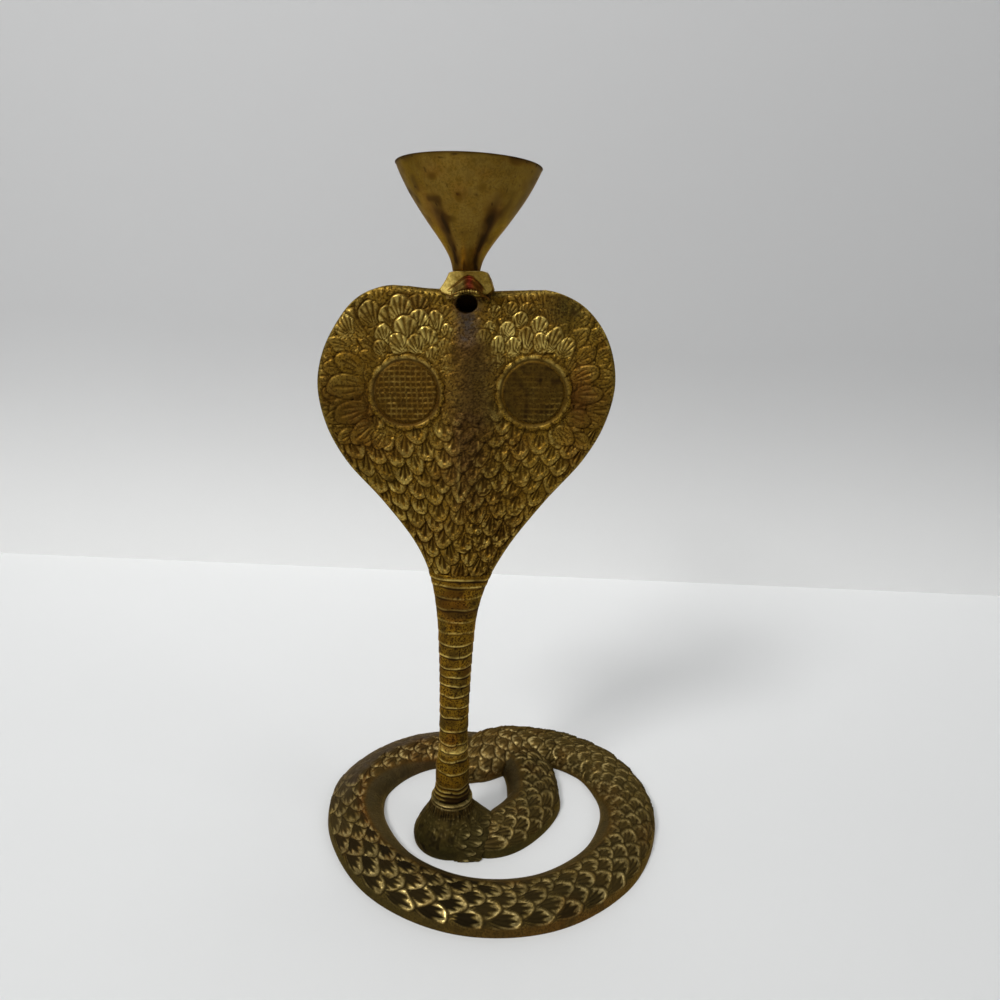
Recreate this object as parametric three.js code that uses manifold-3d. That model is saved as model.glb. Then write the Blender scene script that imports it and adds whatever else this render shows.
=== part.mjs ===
import * as THREE from 'three';
import { mergeVertices } from 'three/addons/utils/BufferGeometryUtils.js';
import Module from 'manifold-3d';

// Cast brass candle holder in the form of a hooded cobra rising from its own coil.
// Millimetres, +Z up, +X to the right of the front view, the head faces -Y.

const wasm = await Module();
wasm.setup();

// Driving dimensions: fits
const seatGap = 0.3;            // between pieces that seat on each other
const cutMargin = 1;            // how far a cutting solid runs past the face that it opens

// Driving dimensions: coiled base
const ringRadius = 66.5;        // outer foot edge of the large turn
const strandWidth = 22.2;       // foot width of the coiled body
const strandHeight = 7.8;       // crest of the coiled body above the floor
const crossingRise = 3.6;       // extra height where the tail lies across the body
const crossingSwell = 2.4;      // extra half width there
const tailWidth = 19;           // foot width at the tail's blunt end
const tailShare = 0.72;         // share of the route at which the tail begins
const tailEnd = 0.998;
const scaleHeight = 0.5;        // from the hollow between two scales up to a scale's tip
const baseWall = 3;             // metal left over the open underside
const hollowStart = 0.01;       // share of the route at which the open underside begins

// Driving dimensions: socket at the inner end of the coil
const socketHeight = 14.5;      // lip above the floor
const socketLipRadius = 8.6;
const socketLipRounding = 1.3;
const socketFootRadius = 14.4;
const pocketRadius = 9.4;       // open underside of the socket
const socketDepth = 6.5;        // how deep the neck's spigot sits
const socketFloor = 3.4;        // metal under the spigot
const socketRise = 3;           // how far the strand climbs towards the socket

// Driving dimensions: neck, hood and head
const spigotRadius = 5;
const neckRadius = 5.2;         // slimmest part of the neck
const collarSwell = 0.55;       // how far the lower collar stands out of the neck
const neckLength = 95.5;        // from the socket's lip to the foot of the hood
const plainCollar = 4;          // smooth length of the neck above the socket's lip
const neckRings = 22;
const ringRelief = 0.28;        // how far a belly ring stands out
const hoodHeight = 95.2;        // from the foot of the hood to the top of its lobes
const hoodHalfWidth = 47.8;
const wingThickness = 3.4;      // hood near its edge
const spineDepth = 4.4;         // hood's half thickness on its centre line
const spineWidth = 9;           // how far the thick centre reaches sideways
const wingSweep = 4;            // how far the edges curve forward
const lobeOffset = 24;          // top of each lobe, from the centre line
const lobeDip = 1.5;            // how much lower the hood's top runs beside the head
const lobeRise = 2.3;           // degrees by which the hood's right half sits higher
const hoodShift = 1.1;          // hood and head sit this far right of the stem's axis
const headTop = 4.3;            // head's flat top above the lobes
const headHalfWidth = 6;
const cheekHalfWidth = 8.6;
const headHeight = 6.4;         // upper jaw from its flat top to the cheeks' tips
const headLength = 11;          // snout in front of the stem's centre line
const headBack = 7;             // back of the head behind the stem's centre line
const jawSlant = 0.4;           // share of the snout's reach that the cheeks' tips lack
const mouthWall = 1.6;          // metal between the mouth's back and the stud's hole
const throatRadius = 3.2;
const throatDrop = 9.5;         // throat's centre below the head's flat top
const throatDepth = 6;          // blind end behind the hood's front face
const lipRadius = 3.9;
const lipThickness = 1.3;

// Driving dimensions: the two round marks on the hood
const markRadius = 11.9;        // outside of the raised rim
const markDiscRadius = 9.6;
const markRim = 0.8;            // half the rim's thickness
const markStand = 0.45;         // disc's face in front of the hood's face
const markRoot = 1.8;           // how far a mark reaches into the hood
const markLeft = 19.3;          // centre of the left mark from the hood's centre line
const markRight = 21.8;
const markDrop = 33.2;          // centre of the marks below the lobes' top
const grooveDepth = 0.8;        // between the rim and the disc

// Driving dimensions: candle cup
const cupHeight = 30.2;         // from its foot to its rim
const cupRimRadius = 22.3;
const cupFootRadius = 4.3;
const cupWall = 1.5;            // measured level
const cupFloorHeight = 8;       // inner floor above the cup's foot

// Driving dimensions: hidden fasteners
const threadRadius = 2;         // both threads
const studDepth = 4.6;          // stud's hole down into the head
const studReach = 5.6;          // stud's hole up into the cup
const washerRadius = 4.6;
const washerThickness = 0.8;
const screwHeadRadius = 3.6;
const screwHeadHeight = 2;
const screwReach = 11;          // screw's hole up into the neck

// Fineness of the round forms
const routeSteps = 112;         // two steps to a scale
const archSteps = 10;
const firstScaleStep = 4;       // scales lie on these steps of the arch, from the crest
const lastScaleStep = 8;        // down to the plain foot on its outer side
const hollowSteps = 6;
const bodySides = 36;
const hoodSteps = 22;
const turnedSides = 48;
const smallSides = 24;

const radians = THREE.MathUtils.degToRad;
const lerp = THREE.MathUtils.lerp;
const smooth = (value, from, to) => THREE.MathUtils.smoothstep(value, from, to);

// Levels above the floor
const spigotBottom = socketHeight - socketDepth + seatGap;
const hoodFoot = socketHeight + neckLength;
const hoodTop = hoodFoot + hoodHeight;
const headTopLevel = hoodTop + headTop;
const cupFoot = headTopLevel + seatGap;
const socketBore = socketHeight - socketDepth;
const underFloor = socketBore - socketFloor;
const throatLevel = headTopLevel - throatDrop;
const markLevel = hoodTop - markDrop;

// Solid helpers
function toSolid(geometry) {
  const bare = geometry.index ? geometry.clone() : geometry;
  bare.deleteAttribute('normal');
  bare.deleteAttribute('uv');
  const merged = mergeVertices(bare, 1e-5);
  return new wasm.Manifold(new wasm.Mesh({
    numProp: 3,
    vertProperties: new Float32Array(merged.attributes.position.array),
    triVerts: new Uint32Array(merged.index.array),
  }));
}

function toGeometry(solid) {
  const mesh = solid.getMesh();
  const geometry = new THREE.BufferGeometry();
  const count = mesh.vertProperties.length / mesh.numProp;
  const positions = new Float32Array(count * 3);
  for (let i = 0; i < count; i += 1) {
    for (let axis = 0; axis < 3; axis += 1) {
      positions[3 * i + axis] = mesh.vertProperties[mesh.numProp * i + axis];
    }
  }
  geometry.setAttribute('position', new THREE.BufferAttribute(positions, 3));
  geometry.setIndex(Array.from(mesh.triVerts));
  return geometry;
}

// A closed body through rings of points that all have the same count.
// Each end is closed by a strip between its two halves, so an end may be curved.
function loft(rings) {
  const sides = rings[0].length;
  const positions = rings.flat().flatMap((point) => [point.x, point.y, point.z]);
  const faces = [];
  for (let ring = 0; ring < rings.length - 1; ring += 1) {
    for (let side = 0; side < sides; side += 1) {
      const next = (side + 1) % sides;
      const a = ring * sides + side;
      const b = ring * sides + next;
      faces.push(a, b, b + sides, a, b + sides, a + sides);
    }
  }
  const last = (rings.length - 1) * sides;
  for (let low = 0, high = sides - 1; low + 1 <= high; low += 1, high -= 1) {
    const pair = [low, low + 1, high, high - 1];
    if (low + 1 < high) {
      faces.push(pair[0], pair[2], pair[1]);
      faces.push(last + pair[0], last + pair[1], last + pair[2]);
    }
    if (low + 1 < high - 1) {
      faces.push(pair[1], pair[2], pair[3]);
      faces.push(last + pair[1], last + pair[3], last + pair[2]);
    }
  }
  const geometry = new THREE.BufferGeometry();
  geometry.setAttribute('position', new THREE.Float32BufferAttribute(positions, 3));
  geometry.setIndex(faces);
  return geometry;
}

// A body turned round the Z axis from an outline of [radius, height] pairs
function turned(outline, sides) {
  const points = outline.map(([radius, height]) => new THREE.Vector2(radius, height));
  const geometry = new THREE.LatheGeometry(points, sides);
  geometry.rotateX(Math.PI / 2);
  return geometry;
}

function rod(radius, bottom, top, sides = smallSides) {
  return toSolid(turned([[0, bottom], [radius, bottom], [radius, top], [0, top]], sides));
}

// A turned body laid down so that its axis runs along Y, its top towards the front
function facingFront(geometry, x, y, z) {
  geometry.rotateX(Math.PI / 2);
  geometry.translate(x, y, z);
  return geometry;
}

// The coil's route: [turn angle in degrees, how far it is drawn in from the large turn]
const turnRadius = ringRadius - strandWidth / 2;
const coilRoute = [
  [230.5, 30.6], [271, 35.2], [310, 39.3], [357, 38.3], [376, 37.5], [398, 34.2],
  [417.5, 29.1], [437, 25.2], [458.5, 22.6], [478.5, 18], [497, 11.8], [514, 6.7],
  [530, 2.2], [541, 0.2], [560, 0], [590, 0], [620, 0], [650, 0], [680, 0], [705, 0],
  [722, 0.1], [744, 2.6], [757.5, 5.8], [770, 9.4], [778.6, 12.9], [794, 18.9], [810, 25],
  [828.7, 30.8], [846, 33.6], [862, 35.4],
];
const crossingAngle = 808;      // where the tail stands highest
const crossingSpread = 24;      // degrees over which it climbs and falls
const socketSpread = 20;        // degrees over which the strand climbs to the socket
const tailStart = 820;          // where the tail begins to narrow

const route = new THREE.CatmullRomCurve3(coilRoute.map(([angle, drawIn]) => {
  const radius = turnRadius - drawIn;
  return new THREE.Vector3(radius * Math.cos(radians(angle)), radius * Math.sin(radians(angle)), 0);
}), false, 'centripetal');
const stem = route.getPoint(0);

// One station of the coil at a share of the route's length
function routeStation(share) {
  const centre = route.getPointAt(share);
  const along = route.getTangentAt(share);
  const across = new THREE.Vector3(-along.y, along.x, 0);
  const span = coilRoute.length - 1;
  const place = route.getUtoTmapping(share) * span;
  const index = Math.min(Math.floor(place), span - 1);
  const angle = lerp(coilRoute[index][0], coilRoute[index + 1][0], place - index);
  const tail = smooth(angle, tailStart, coilRoute[span][0]);
  const climb = Math.exp(-(((angle - crossingAngle) / crossingSpread) ** 2));
  const toSocket = Math.exp(-(((angle - coilRoute[0][0]) / socketSpread) ** 2));
  return {
    centre,
    across,
    halfWidth: lerp(strandWidth, tailWidth, tail) / 2 + crossingSwell * climb,
    height: strandHeight + crossingRise * climb + socketRise * toSocket,
  };
}

// The domed strand between two shares of the route, thinned by inset on every side.
// Its outer side carries staggered scales of a height given by relief.
function strand(from, to, steps, sides, inset, drop, relief) {
  const rings = [];
  const length = route.getLength();
  for (let step = 0; step <= steps; step += 1) {
    const share = lerp(from, to, step / steps);
    const { centre, across, halfWidth, height } = routeStation(share);
    const toEnd = (1 - share) * length - inset;
    const blunt = Math.min(1, Math.max(0.15, toEnd / halfWidth));
    const rounding = Math.sqrt(1 - (1 - blunt) ** 2);
    const reach = (halfWidth - inset) * rounding;
    const crest = (height - inset) * rounding;
    const ring = [];
    for (let i = 0; i <= sides; i += 1) {
      const turn = Math.PI * i / sides;
      const carved = i >= firstScaleStep && i <= lastScaleStep;
      const tip = (i + step) % 2 === 0 ? 0.5 : -0.5;
      const lift = carved ? tip * relief * rounding : 0;
      const level = (crest + lift) * Math.sin(turn) ** 0.9 - (i === 0 || i === sides ? drop : 0);
      ring.push(new THREE.Vector3(
        centre.x + across.x * (reach + lift) * Math.cos(turn),
        centre.y + across.y * (reach + lift) * Math.cos(turn),
        level,
      ));
    }
    rings.push(ring);
  }
  return toSolid(loft(rings));
}

// The strand is made in two lengths, because the tail lies across the body
function bothLengths(start, end, steps, sides, inset, drop, relief) {
  const bodySteps = 2 * Math.round(steps * tailShare / 2);
  const body = strand(start, tailShare, bodySteps, sides, inset, drop, relief);
  return body.add(strand(tailShare, end, steps - bodySteps, sides, inset, drop, relief));
}

// Coiled base with its open underside, the neck's socket and the screw's passage
function coiledBase() {
  const bulb = toSolid(turned([
    [0, 0], [socketFootRadius - 0.2, 0], [socketFootRadius, 0.17 * socketHeight],
    [lerp(socketLipRadius, socketFootRadius, 0.84), 0.45 * socketHeight],
    [lerp(socketLipRadius, socketFootRadius, 0.42), 0.7 * socketHeight],
    [lerp(socketLipRadius, socketFootRadius, 0.08), 0.88 * socketHeight],
    [socketLipRadius - 0.4 * socketLipRounding, socketHeight - 0.4 * socketLipRounding],
    [socketLipRadius - socketLipRounding, socketHeight], [0, socketHeight],
  ], turnedSides)).translate([stem.x, stem.y, 0]);
  const pocket = rod(pocketRadius, -cutMargin, underFloor, turnedSides);
  const bore = rod(spigotRadius + seatGap, socketBore, socketHeight + cutMargin, turnedSides);
  const passage = rod(threadRadius + seatGap, underFloor - cutMargin, socketBore + cutMargin);
  const hollowEnd = tailEnd - baseWall / route.getLength();
  const hollow = bothLengths(
    hollowStart, hollowEnd, routeSteps / 2, hollowSteps, baseWall, cutMargin, 0,
  );
  return bothLengths(0, tailEnd, routeSteps, archSteps, 0, 0, scaleHeight)
    .add(bulb)
    .subtract(hollow)
    .subtract(pocket.add(bore).add(passage).translate([stem.x, stem.y, 0]));
}

// Half width of neck and hood at each level, from the spigot to the top of the lobes
const outlinePoints = [
  [spigotRadius, spigotBottom], [spigotRadius, socketHeight],
  [neckRadius + collarSwell / 3, socketHeight + 0.08 * neckLength],
  [neckRadius + collarSwell, socketHeight + 0.13 * neckLength],
  [neckRadius + collarSwell, socketHeight + 0.18 * neckLength],
  [neckRadius, socketHeight + 0.24 * neckLength],
  [neckRadius + 0.02, socketHeight + 0.4 * neckLength],
  [neckRadius + 0.65, socketHeight + 0.65 * neckLength],
  [neckRadius + 1.75, socketHeight + 0.81 * neckLength],
  [0.185 * hoodHalfWidth, hoodFoot - 0.08 * neckLength],
  [0.237 * hoodHalfWidth, hoodFoot], [0.345 * hoodHalfWidth, hoodFoot + 0.105 * hoodHeight],
  [0.575 * hoodHalfWidth, hoodFoot + 0.265 * hoodHeight],
  [0.825 * hoodHalfWidth, hoodFoot + 0.42 * hoodHeight],
  [0.95 * hoodHalfWidth, hoodFoot + 0.545 * hoodHeight],
  [hoodHalfWidth, hoodFoot + 0.68 * hoodHeight],
  [0.958 * hoodHalfWidth, hoodFoot + 0.795 * hoodHeight],
  [0.86 * hoodHalfWidth, hoodFoot + 0.888 * hoodHeight],
  [0.74 * hoodHalfWidth, hoodFoot + 0.952 * hoodHeight],
  [0.58 * hoodHalfWidth, hoodFoot + 0.989 * hoodHeight],
  [0.4 * hoodHalfWidth, hoodTop],
];
const outline = new THREE.CatmullRomCurve3(
  outlinePoints.map(([halfWidth, level]) => new THREE.Vector3(halfWidth, 0, level)),
  false,
  'centripetal',
).getPoints(600);

function halfWidthAt(level) {
  const above = outline.findIndex((point) => point.z >= level);
  if (above <= 0) return above === 0 ? outline[0].x : outline[outline.length - 1].x;
  const low = outline[above - 1];
  const high = outline[above];
  return lerp(low.x, high.x, (level - low.z) / (high.z - low.z));
}

// Half thickness of neck or hood at a distance from its centre line
function halfThickness(x, halfWidth) {
  const flat = smooth(halfWidth, neckRadius + 1, 0.36 * hoodHalfWidth);
  const centre = lerp(Math.min(halfWidth, neckRadius + collarSwell), spineDepth, flat);
  const wing = lerp(centre, wingThickness / 2, flat);
  const bulge = Math.exp(-((x / spineWidth) ** 2));
  const share = Math.min(1, Math.abs(x) / halfWidth);
  const edge = Math.sqrt(Math.max(0, 1 - share ** lerp(2, 5, flat)));
  return edge * (wing + (centre - wing) * bulge);
}

// Where the hood's middle surface lies: its edges curve forward
function sweepAt(x) {
  return -wingSweep * (x / hoodHalfWidth) ** 2;
}

// One closed section of neck or hood
function bodySection(level, swell, closing) {
  const halfWidth = halfWidthAt(level) + swell;
  const upper = smooth(level, hoodTop - 0.16 * hoodHeight, hoodTop);
  const lift = smooth(level, hoodFoot, hoodFoot + 0.4 * hoodHeight);
  const shift = hoodShift * smooth(level, hoodFoot - 0.2 * neckLength, hoodFoot + 0.1 * hoodHeight);
  const tilt = Math.tan(radians(lobeRise)) * lift * (1 - 0.8 * upper);
  const ring = [];
  for (let i = 0; i < bodySides; i += 1) {
    const turn = 2 * Math.PI * (i + 0.5) / bodySides;
    const x = halfWidth * Math.cos(turn);
    const half = (halfThickness(x, halfWidth) + swell * (1 - lift)) * closing;
    const side = turn < Math.PI ? 1 : -1;
    const dip = lobeDip * Math.max(0, 1 - (x / lobeOffset) ** 2) * upper;
    const y = sweepAt(x) * lift + side * half;
    ring.push(new THREE.Vector3(x + shift, y, level - dip + x * tilt));
  }
  return ring;
}

// Neck with its belly rings, then the hood up to its rounded top edge
function neckAndHood() {
  const rings = [bodySection(spigotBottom, 0, 1), bodySection(socketHeight, 0, 1)];
  const firstRing = socketHeight + plainCollar;
  const pitch = (hoodFoot - firstRing) / neckRings;
  for (let ring = 0; ring < neckRings; ring += 1) {
    rings.push(bodySection(firstRing + pitch * ring, 0, 1));
    rings.push(bodySection(firstRing + pitch * (ring + 0.5), ringRelief, 1));
  }
  for (let step = 0; step <= hoodSteps; step += 1) {
    const share = Math.sin(0.5 * Math.PI * step / hoodSteps);
    const level = lerp(hoodFoot, hoodTop, share);
    const fromTop = (hoodTop - level) / wingThickness;
    const closing = fromTop < 1 ? Math.sqrt(Math.max(0.12, 1 - (1 - fromTop) ** 2)) : 1;
    rings.push(bodySection(level, 0, closing));
  }
  return toSolid(loft(rings));
}

// The head's outline seen from the front, shrunk towards its core.
// In front of the stem's axis it slants back from the snout to the cheeks' tips.
function headSection(y, scale, underside) {
  const core = headTopLevel - 0.55 * headHeight;
  const half = [
    [0, 0], [0.72 * headHalfWidth, 0], [headHalfWidth, 0.08],
    [lerp(headHalfWidth, cheekHalfWidth, 0.3), 0.4],
    [lerp(headHalfWidth, cheekHalfWidth, 0.6), 0.72], [cheekHalfWidth, 1],
    [0.92 * cheekHalfWidth, underside], [0.5 * cheekHalfWidth, underside + 0.12],
  ];
  const right = half.map(([x, drop]) => [x, headTopLevel - drop * headHeight]);
  const bottom = [[0, headTopLevel - (underside + 0.15) * headHeight]];
  const left = right.slice(1).reverse().map(([x, level]) => [-x, level]);
  const points = right.concat(bottom, left);
  const slant = (level) => (y < 0 ? 1 - jawSlant * (headTopLevel - level) / headHeight : 1);
  return points.map(([x, level]) => new THREE.Vector3(
    x * scale + hoodShift,
    y * slant(level),
    core + (level - core) * scale + x * Math.tan(radians(lobeRise)),
  )).reverse();
}

// Upper jaw over an open mouth, with the lower lip in front of the throat
function head() {
  const jawUnderside = 1.1;
  const skullUnderside = 1.5;
  const block = toSolid(loft([
    headSection(headBack, 0.5, skullUnderside),
    headSection(0.88 * headBack, 0.8, skullUnderside),
    headSection(0.68 * headBack, 1, skullUnderside),
    headSection(-0.5 * headLength, 1, skullUnderside),
    headSection(-0.62 * headLength, 1, jawUnderside),
    headSection(-0.88 * headLength, 0.98, jawUnderside),
    headSection(-headLength, 0.93, jawUnderside),
  ]));
  const mouthFloor = headTopLevel - 0.98 * headHeight;
  const arch = [
    [-0.68, 0], [-0.5, 0.3], [-0.14, 0.8], [0.02, 0.83], [0.2, 0.78], [0.52, 0.4], [0.72, 0],
  ];
  const mouthSection = (y, scale) => arch.map(([across, up]) => new THREE.Vector3(
    across * cheekHalfWidth * scale + hoodShift,
    y,
    mouthFloor + up * headHeight * scale,
  ));
  const mouth = toSolid(loft([
    mouthSection(-headLength - cutMargin, 1.05),
    mouthSection(-0.6 * headLength, 0.8),
    mouthSection(-threadRadius - seatGap - mouthWall, 0.42),
  ]));
  const lip = rod(lipRadius, mouthFloor - lipThickness, mouthFloor + 0.5 * lipThickness)
    .translate([hoodShift, -0.68 * lipRadius, 0]);
  return { block, mouth, lip };
}

// One round mark: a raised rim, a shallow groove and a flat disc
function roundMark(x) {
  const level = markLevel + x * Math.tan(radians(lobeRise));
  const face = sweepAt(x) - wingThickness / 2 - markStand;
  const rimInside = markRadius - 2 * markRim;
  const coin = toSolid(facingFront(turned([
    [0, -markRoot], [markRadius, -markRoot], [markRadius, 0],
    [markRadius - 0.4 * markRim, 0.55 * markRim], [markRadius - markRim, 0.75 * markRim],
    [rimInside + 0.3 * markRim, 0.45 * markRim], [rimInside, -0.4 * grooveDepth],
    [lerp(markDiscRadius, rimInside, 0.5), -grooveDepth], [markDiscRadius, -0.5 * grooveDepth],
    [markDiscRadius - 0.5 * grooveDepth, 0], [0, 0.2 * grooveDepth],
  ], turnedSides), x + hoodShift, face, level));
  const seat = toSolid(facingFront(turned([
    [0, -0.7 * markRoot], [markRadius - markRim, -0.7 * markRoot],
    [markRadius - markRim, spineDepth], [0, spineDepth],
  ], turnedSides), x + hoodShift, face, level));
  return { coin, seat };
}

// Neck, hood and head are one casting, drilled for the throat, the stud and the screw
function cobraBody() {
  const { block, mouth, lip } = head();
  const throat = toSolid(facingFront(turned([
    [0, 0], [throatRadius, 0], [throatRadius, throatDepth + headLength], [0, throatDepth + headLength],
  ], smallSides), hoodShift, throatDepth - spineDepth, throatLevel));
  const studHole = rod(threadRadius + seatGap, headTopLevel - studDepth, headTopLevel + cutMargin);
  const cupSeat = rod(cupFootRadius + seatGap, headTopLevel, headTopLevel + 2 * cutMargin);
  const screwHole = rod(
    threadRadius + seatGap,
    spigotBottom - cutMargin,
    spigotBottom + screwReach,
  );
  const marks = [roundMark(-markLeft), roundMark(markRight)];
  let body = neckAndHood().add(block);
  marks.forEach(({ coin, seat }) => {
    body = body.subtract(seat).add(coin);
  });
  return body.subtract(mouth).add(lip)
    .subtract(throat).subtract(cupSeat).subtract(studHole).subtract(screwHole);
}

// Turned cup: a trumpet outside, a true cone inside down to a flat seat
function candleCup() {
  const shape = [
    [0, 0], [0.02, 0.05], [0.06, 0.12], [0.195, 0.255], [0.475, 0.475],
    [0.76, 0.72], [0.925, 0.9], [1, 1],
  ];
  const wall = new THREE.SplineCurve(shape.map(([across, up]) => new THREE.Vector2(
    lerp(cupFootRadius, cupRimRadius, across),
    cupFoot + up * cupHeight,
  )));
  const outside = wall.getPoints(14).map((point) => [point.x, point.y]);
  const floorLevel = cupFoot + cupFloorHeight;
  const inside = wall.getPoints(200)
    .filter((point, index) => point.y > floorLevel && (index % 20 === 0 || index === 200))
    .map((point) => [point.x - cupWall, point.y])
    .reverse();
  const atFloor = wall.getPoints(200).find((point) => point.y > floorLevel);
  const body = toSolid(turned([
    [0, cupFoot], ...outside, ...inside, [atFloor.x - cupWall, floorLevel], [0, floorLevel],
  ], turnedSides));
  return body.subtract(rod(threadRadius + seatGap, cupFoot - cutMargin, cupFoot + studReach));
}

function cupStud() {
  return rod(threadRadius, headTopLevel - studDepth + seatGap, cupFoot + studReach - seatGap);
}

// Screw from below, its head inside the open underside, and the washer under its head
const washerTop = underFloor - seatGap;
const screwHeadTop = washerTop - washerThickness - seatGap;

function baseScrew() {
  return toSolid(turned([
    [0, screwHeadTop - screwHeadHeight], [0.8 * screwHeadRadius, screwHeadTop - screwHeadHeight],
    [screwHeadRadius, screwHeadTop - 0.55 * screwHeadHeight], [screwHeadRadius, screwHeadTop],
    [threadRadius, screwHeadTop], [threadRadius, spigotBottom + screwReach - seatGap],
    [0, spigotBottom + screwReach - seatGap],
  ], smallSides));
}

function baseWasher() {
  return rod(washerRadius, washerTop - washerThickness, washerTop)
    .subtract(rod(threadRadius + seatGap, 0, washerTop + cutMargin));
}

// Finishes
const castBrass = { color: 0x7a6226, roughness: 0.42, metalness: 0.9 };
const turnedBrass = { color: 0x8a6c28, roughness: 0.3, metalness: 0.95 };
const steel = { color: 0x9a9a98, roughness: 0.4, metalness: 0.9 };

function piece(name, solid, finish) {
  const mesh = new THREE.Mesh(toGeometry(solid), new THREE.MeshStandardMaterial(finish));
  mesh.name = name;
  return mesh;
}

const standing = new THREE.Group();
standing.position.set(stem.x, stem.y, 0);
standing.add(
  piece('cobra_body', cobraBody(), castBrass),
  piece('candle_cup', candleCup(), turnedBrass),
  piece('cup_stud', cupStud(), steel),
  piece('base_screw', baseScrew(), steel),
  piece('base_washer', baseWasher(), steel),
);

const base = piece('coil_base', coiledBase(), castBrass);

// The footprint's middle is the origin
base.geometry.computeBoundingBox();
const footprint = base.geometry.boundingBox.getCenter(new THREE.Vector3());
const holder = new THREE.Group();
holder.add(base, standing);
holder.position.set(-footprint.x, -footprint.y, 0);

export default holder;
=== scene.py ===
import math

import bmesh
import bpy
import numpy as np
from mathutils import Matrix, Vector


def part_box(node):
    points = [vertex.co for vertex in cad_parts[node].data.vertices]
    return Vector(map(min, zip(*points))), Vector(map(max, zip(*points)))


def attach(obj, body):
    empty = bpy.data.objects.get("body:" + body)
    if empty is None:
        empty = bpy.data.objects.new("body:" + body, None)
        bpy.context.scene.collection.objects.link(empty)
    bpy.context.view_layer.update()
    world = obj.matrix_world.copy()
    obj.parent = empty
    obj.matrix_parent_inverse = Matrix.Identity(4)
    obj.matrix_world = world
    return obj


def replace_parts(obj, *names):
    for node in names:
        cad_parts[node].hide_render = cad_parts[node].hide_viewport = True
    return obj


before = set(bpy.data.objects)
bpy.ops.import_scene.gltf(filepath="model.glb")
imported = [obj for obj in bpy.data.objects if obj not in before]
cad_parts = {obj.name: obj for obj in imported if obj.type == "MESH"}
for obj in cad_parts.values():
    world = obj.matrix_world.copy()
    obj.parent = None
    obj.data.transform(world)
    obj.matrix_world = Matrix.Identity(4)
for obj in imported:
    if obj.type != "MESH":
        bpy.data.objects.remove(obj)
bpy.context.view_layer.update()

# The dressed cobra candle holder, in the frame of the solids: +Z up, the head faces -Y.
# Shapes are in millimetres until they become meshes.

MM = 0.001
RANDOM = np.random.default_rng(11)

# Sizes of the solids
RING_RADIUS = 66.5
STRAND_WIDTH = 22.2
STRAND_HEIGHT = 7.8
CROSSING_RISE = 3.6
CROSSING_SWELL = 2.4
TAIL_WIDTH = 19.0
BASE_WALL = 3.0
TAIL_SHARE = 0.72
SOCKET_HEIGHT = 14.5
SOCKET_LIP = 8.6
SOCKET_FOOT = 14.4
SOCKET_RISE = 3.0
SOCKET_BORE = 8.0
UNDER_FLOOR = 4.6
POCKET_RADIUS = 9.4
SPIGOT_RADIUS = 5.0
SEAT_GAP = 0.3
THREAD_RADIUS = 2.0
SPIGOT_BOTTOM = 8.3
NECK_RADIUS = 5.2
COLLAR_SWELL = 0.55
NECK_LENGTH = 95.5
HOOD_FOOT = 110.0
HOOD_HEIGHT = 95.2
HOOD_TOP = HOOD_FOOT + HOOD_HEIGHT
HOOD_HALF = 47.8
WING_THICKNESS = 3.4
SPINE_DEPTH = 4.4
SPINE_WIDTH = 9.0
WING_SWEEP = 4.0
LOBE_OFFSET = 24.0
LOBE_DIP = 1.5
LOBE_RISE = math.tan(math.radians(2.3))
HOOD_SHIFT = 1.1
HEAD_TOP = HOOD_TOP + 4.3
HEAD_HALF = 6.0
CHEEK_HALF = 8.6
HEAD_HEIGHT = 6.4
HEAD_LENGTH = 11.0
HEAD_BACK = 7.0
JAW_SLANT = 0.4
JAW_UNDERSIDE = 1.1
SKULL_UNDERSIDE = 1.5
MOUTH_FLOOR = HEAD_TOP - 0.98 * HEAD_HEIGHT
STUD_DEPTH = 4.6
THROAT_LEVEL = HEAD_TOP - 9.5
THROAT_RADIUS = 3.2
MARK_RADIUS = 11.9
MARK_DISC = 9.9
MARK_STAND = 0.45
MARK_ROOT = 1.8
MARK_LEVEL = HOOD_TOP - 33.2
MARK_PLACES = {"left": -19.3, "right": 21.8}
CUP_FOOT = HEAD_TOP + SEAT_GAP
CUP_HEIGHT = 30.2
CUP_RIM = 22.3
CUP_FOOT_RADIUS = 4.3
CUP_WALL = 1.5
CUP_FLOOR = CUP_FOOT + 8.0
STUD_REACH = 5.6

# The coil's route, from the socket to the tail: turn angle in degrees, and how far it is
# drawn in from the large turn. Every turn angle below is one of this route.
COIL_ROUTE = [
    (230.5, 30.6), (271, 35.2), (310, 39.3), (357, 38.3), (376, 37.5), (398, 34.2),
    (417.5, 29.1), (437, 25.2), (458.5, 22.6), (478.5, 18), (497, 11.8), (514, 6.7),
    (530, 2.2), (541, 0.2), (560, 0), (590, 0), (620, 0), (650, 0), (680, 0), (705, 0),
    (722, 0.1), (744, 2.6), (757.5, 5.8), (770, 9.4), (778.6, 12.9), (794, 18.9),
    (810, 25), (828.7, 30.8), (846, 33.6), (862, 35.4),
]
CROSSING_ANGLE = 808.0
CROSSING_SPREAD = 24.0
SOCKET_SPREAD = 20.0
TAIL_START = 820.0
TURN_RADIUS = RING_RADIUS - STRAND_WIDTH / 2
STATION_STEP = 0.4

STEM = 1000 * np.mean(np.array(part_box("cup_stud")), axis=0)[:2]


def jitter(span):
    """A random number from -span to span."""
    return RANDOM.uniform(-span, span)


def lerp(low, high, share):
    return low + (high - low) * share


def smooth(value, low, high):
    share = np.clip((value - low) / (high - low), 0.0, 1.0)
    return share * share * (3 - 2 * share)


def fading(value, low, high):
    return 1 - smooth(value, low, high)


def bell(value, centre, spread):
    return np.exp(-(((value - centre) / spread) ** 2))


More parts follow.
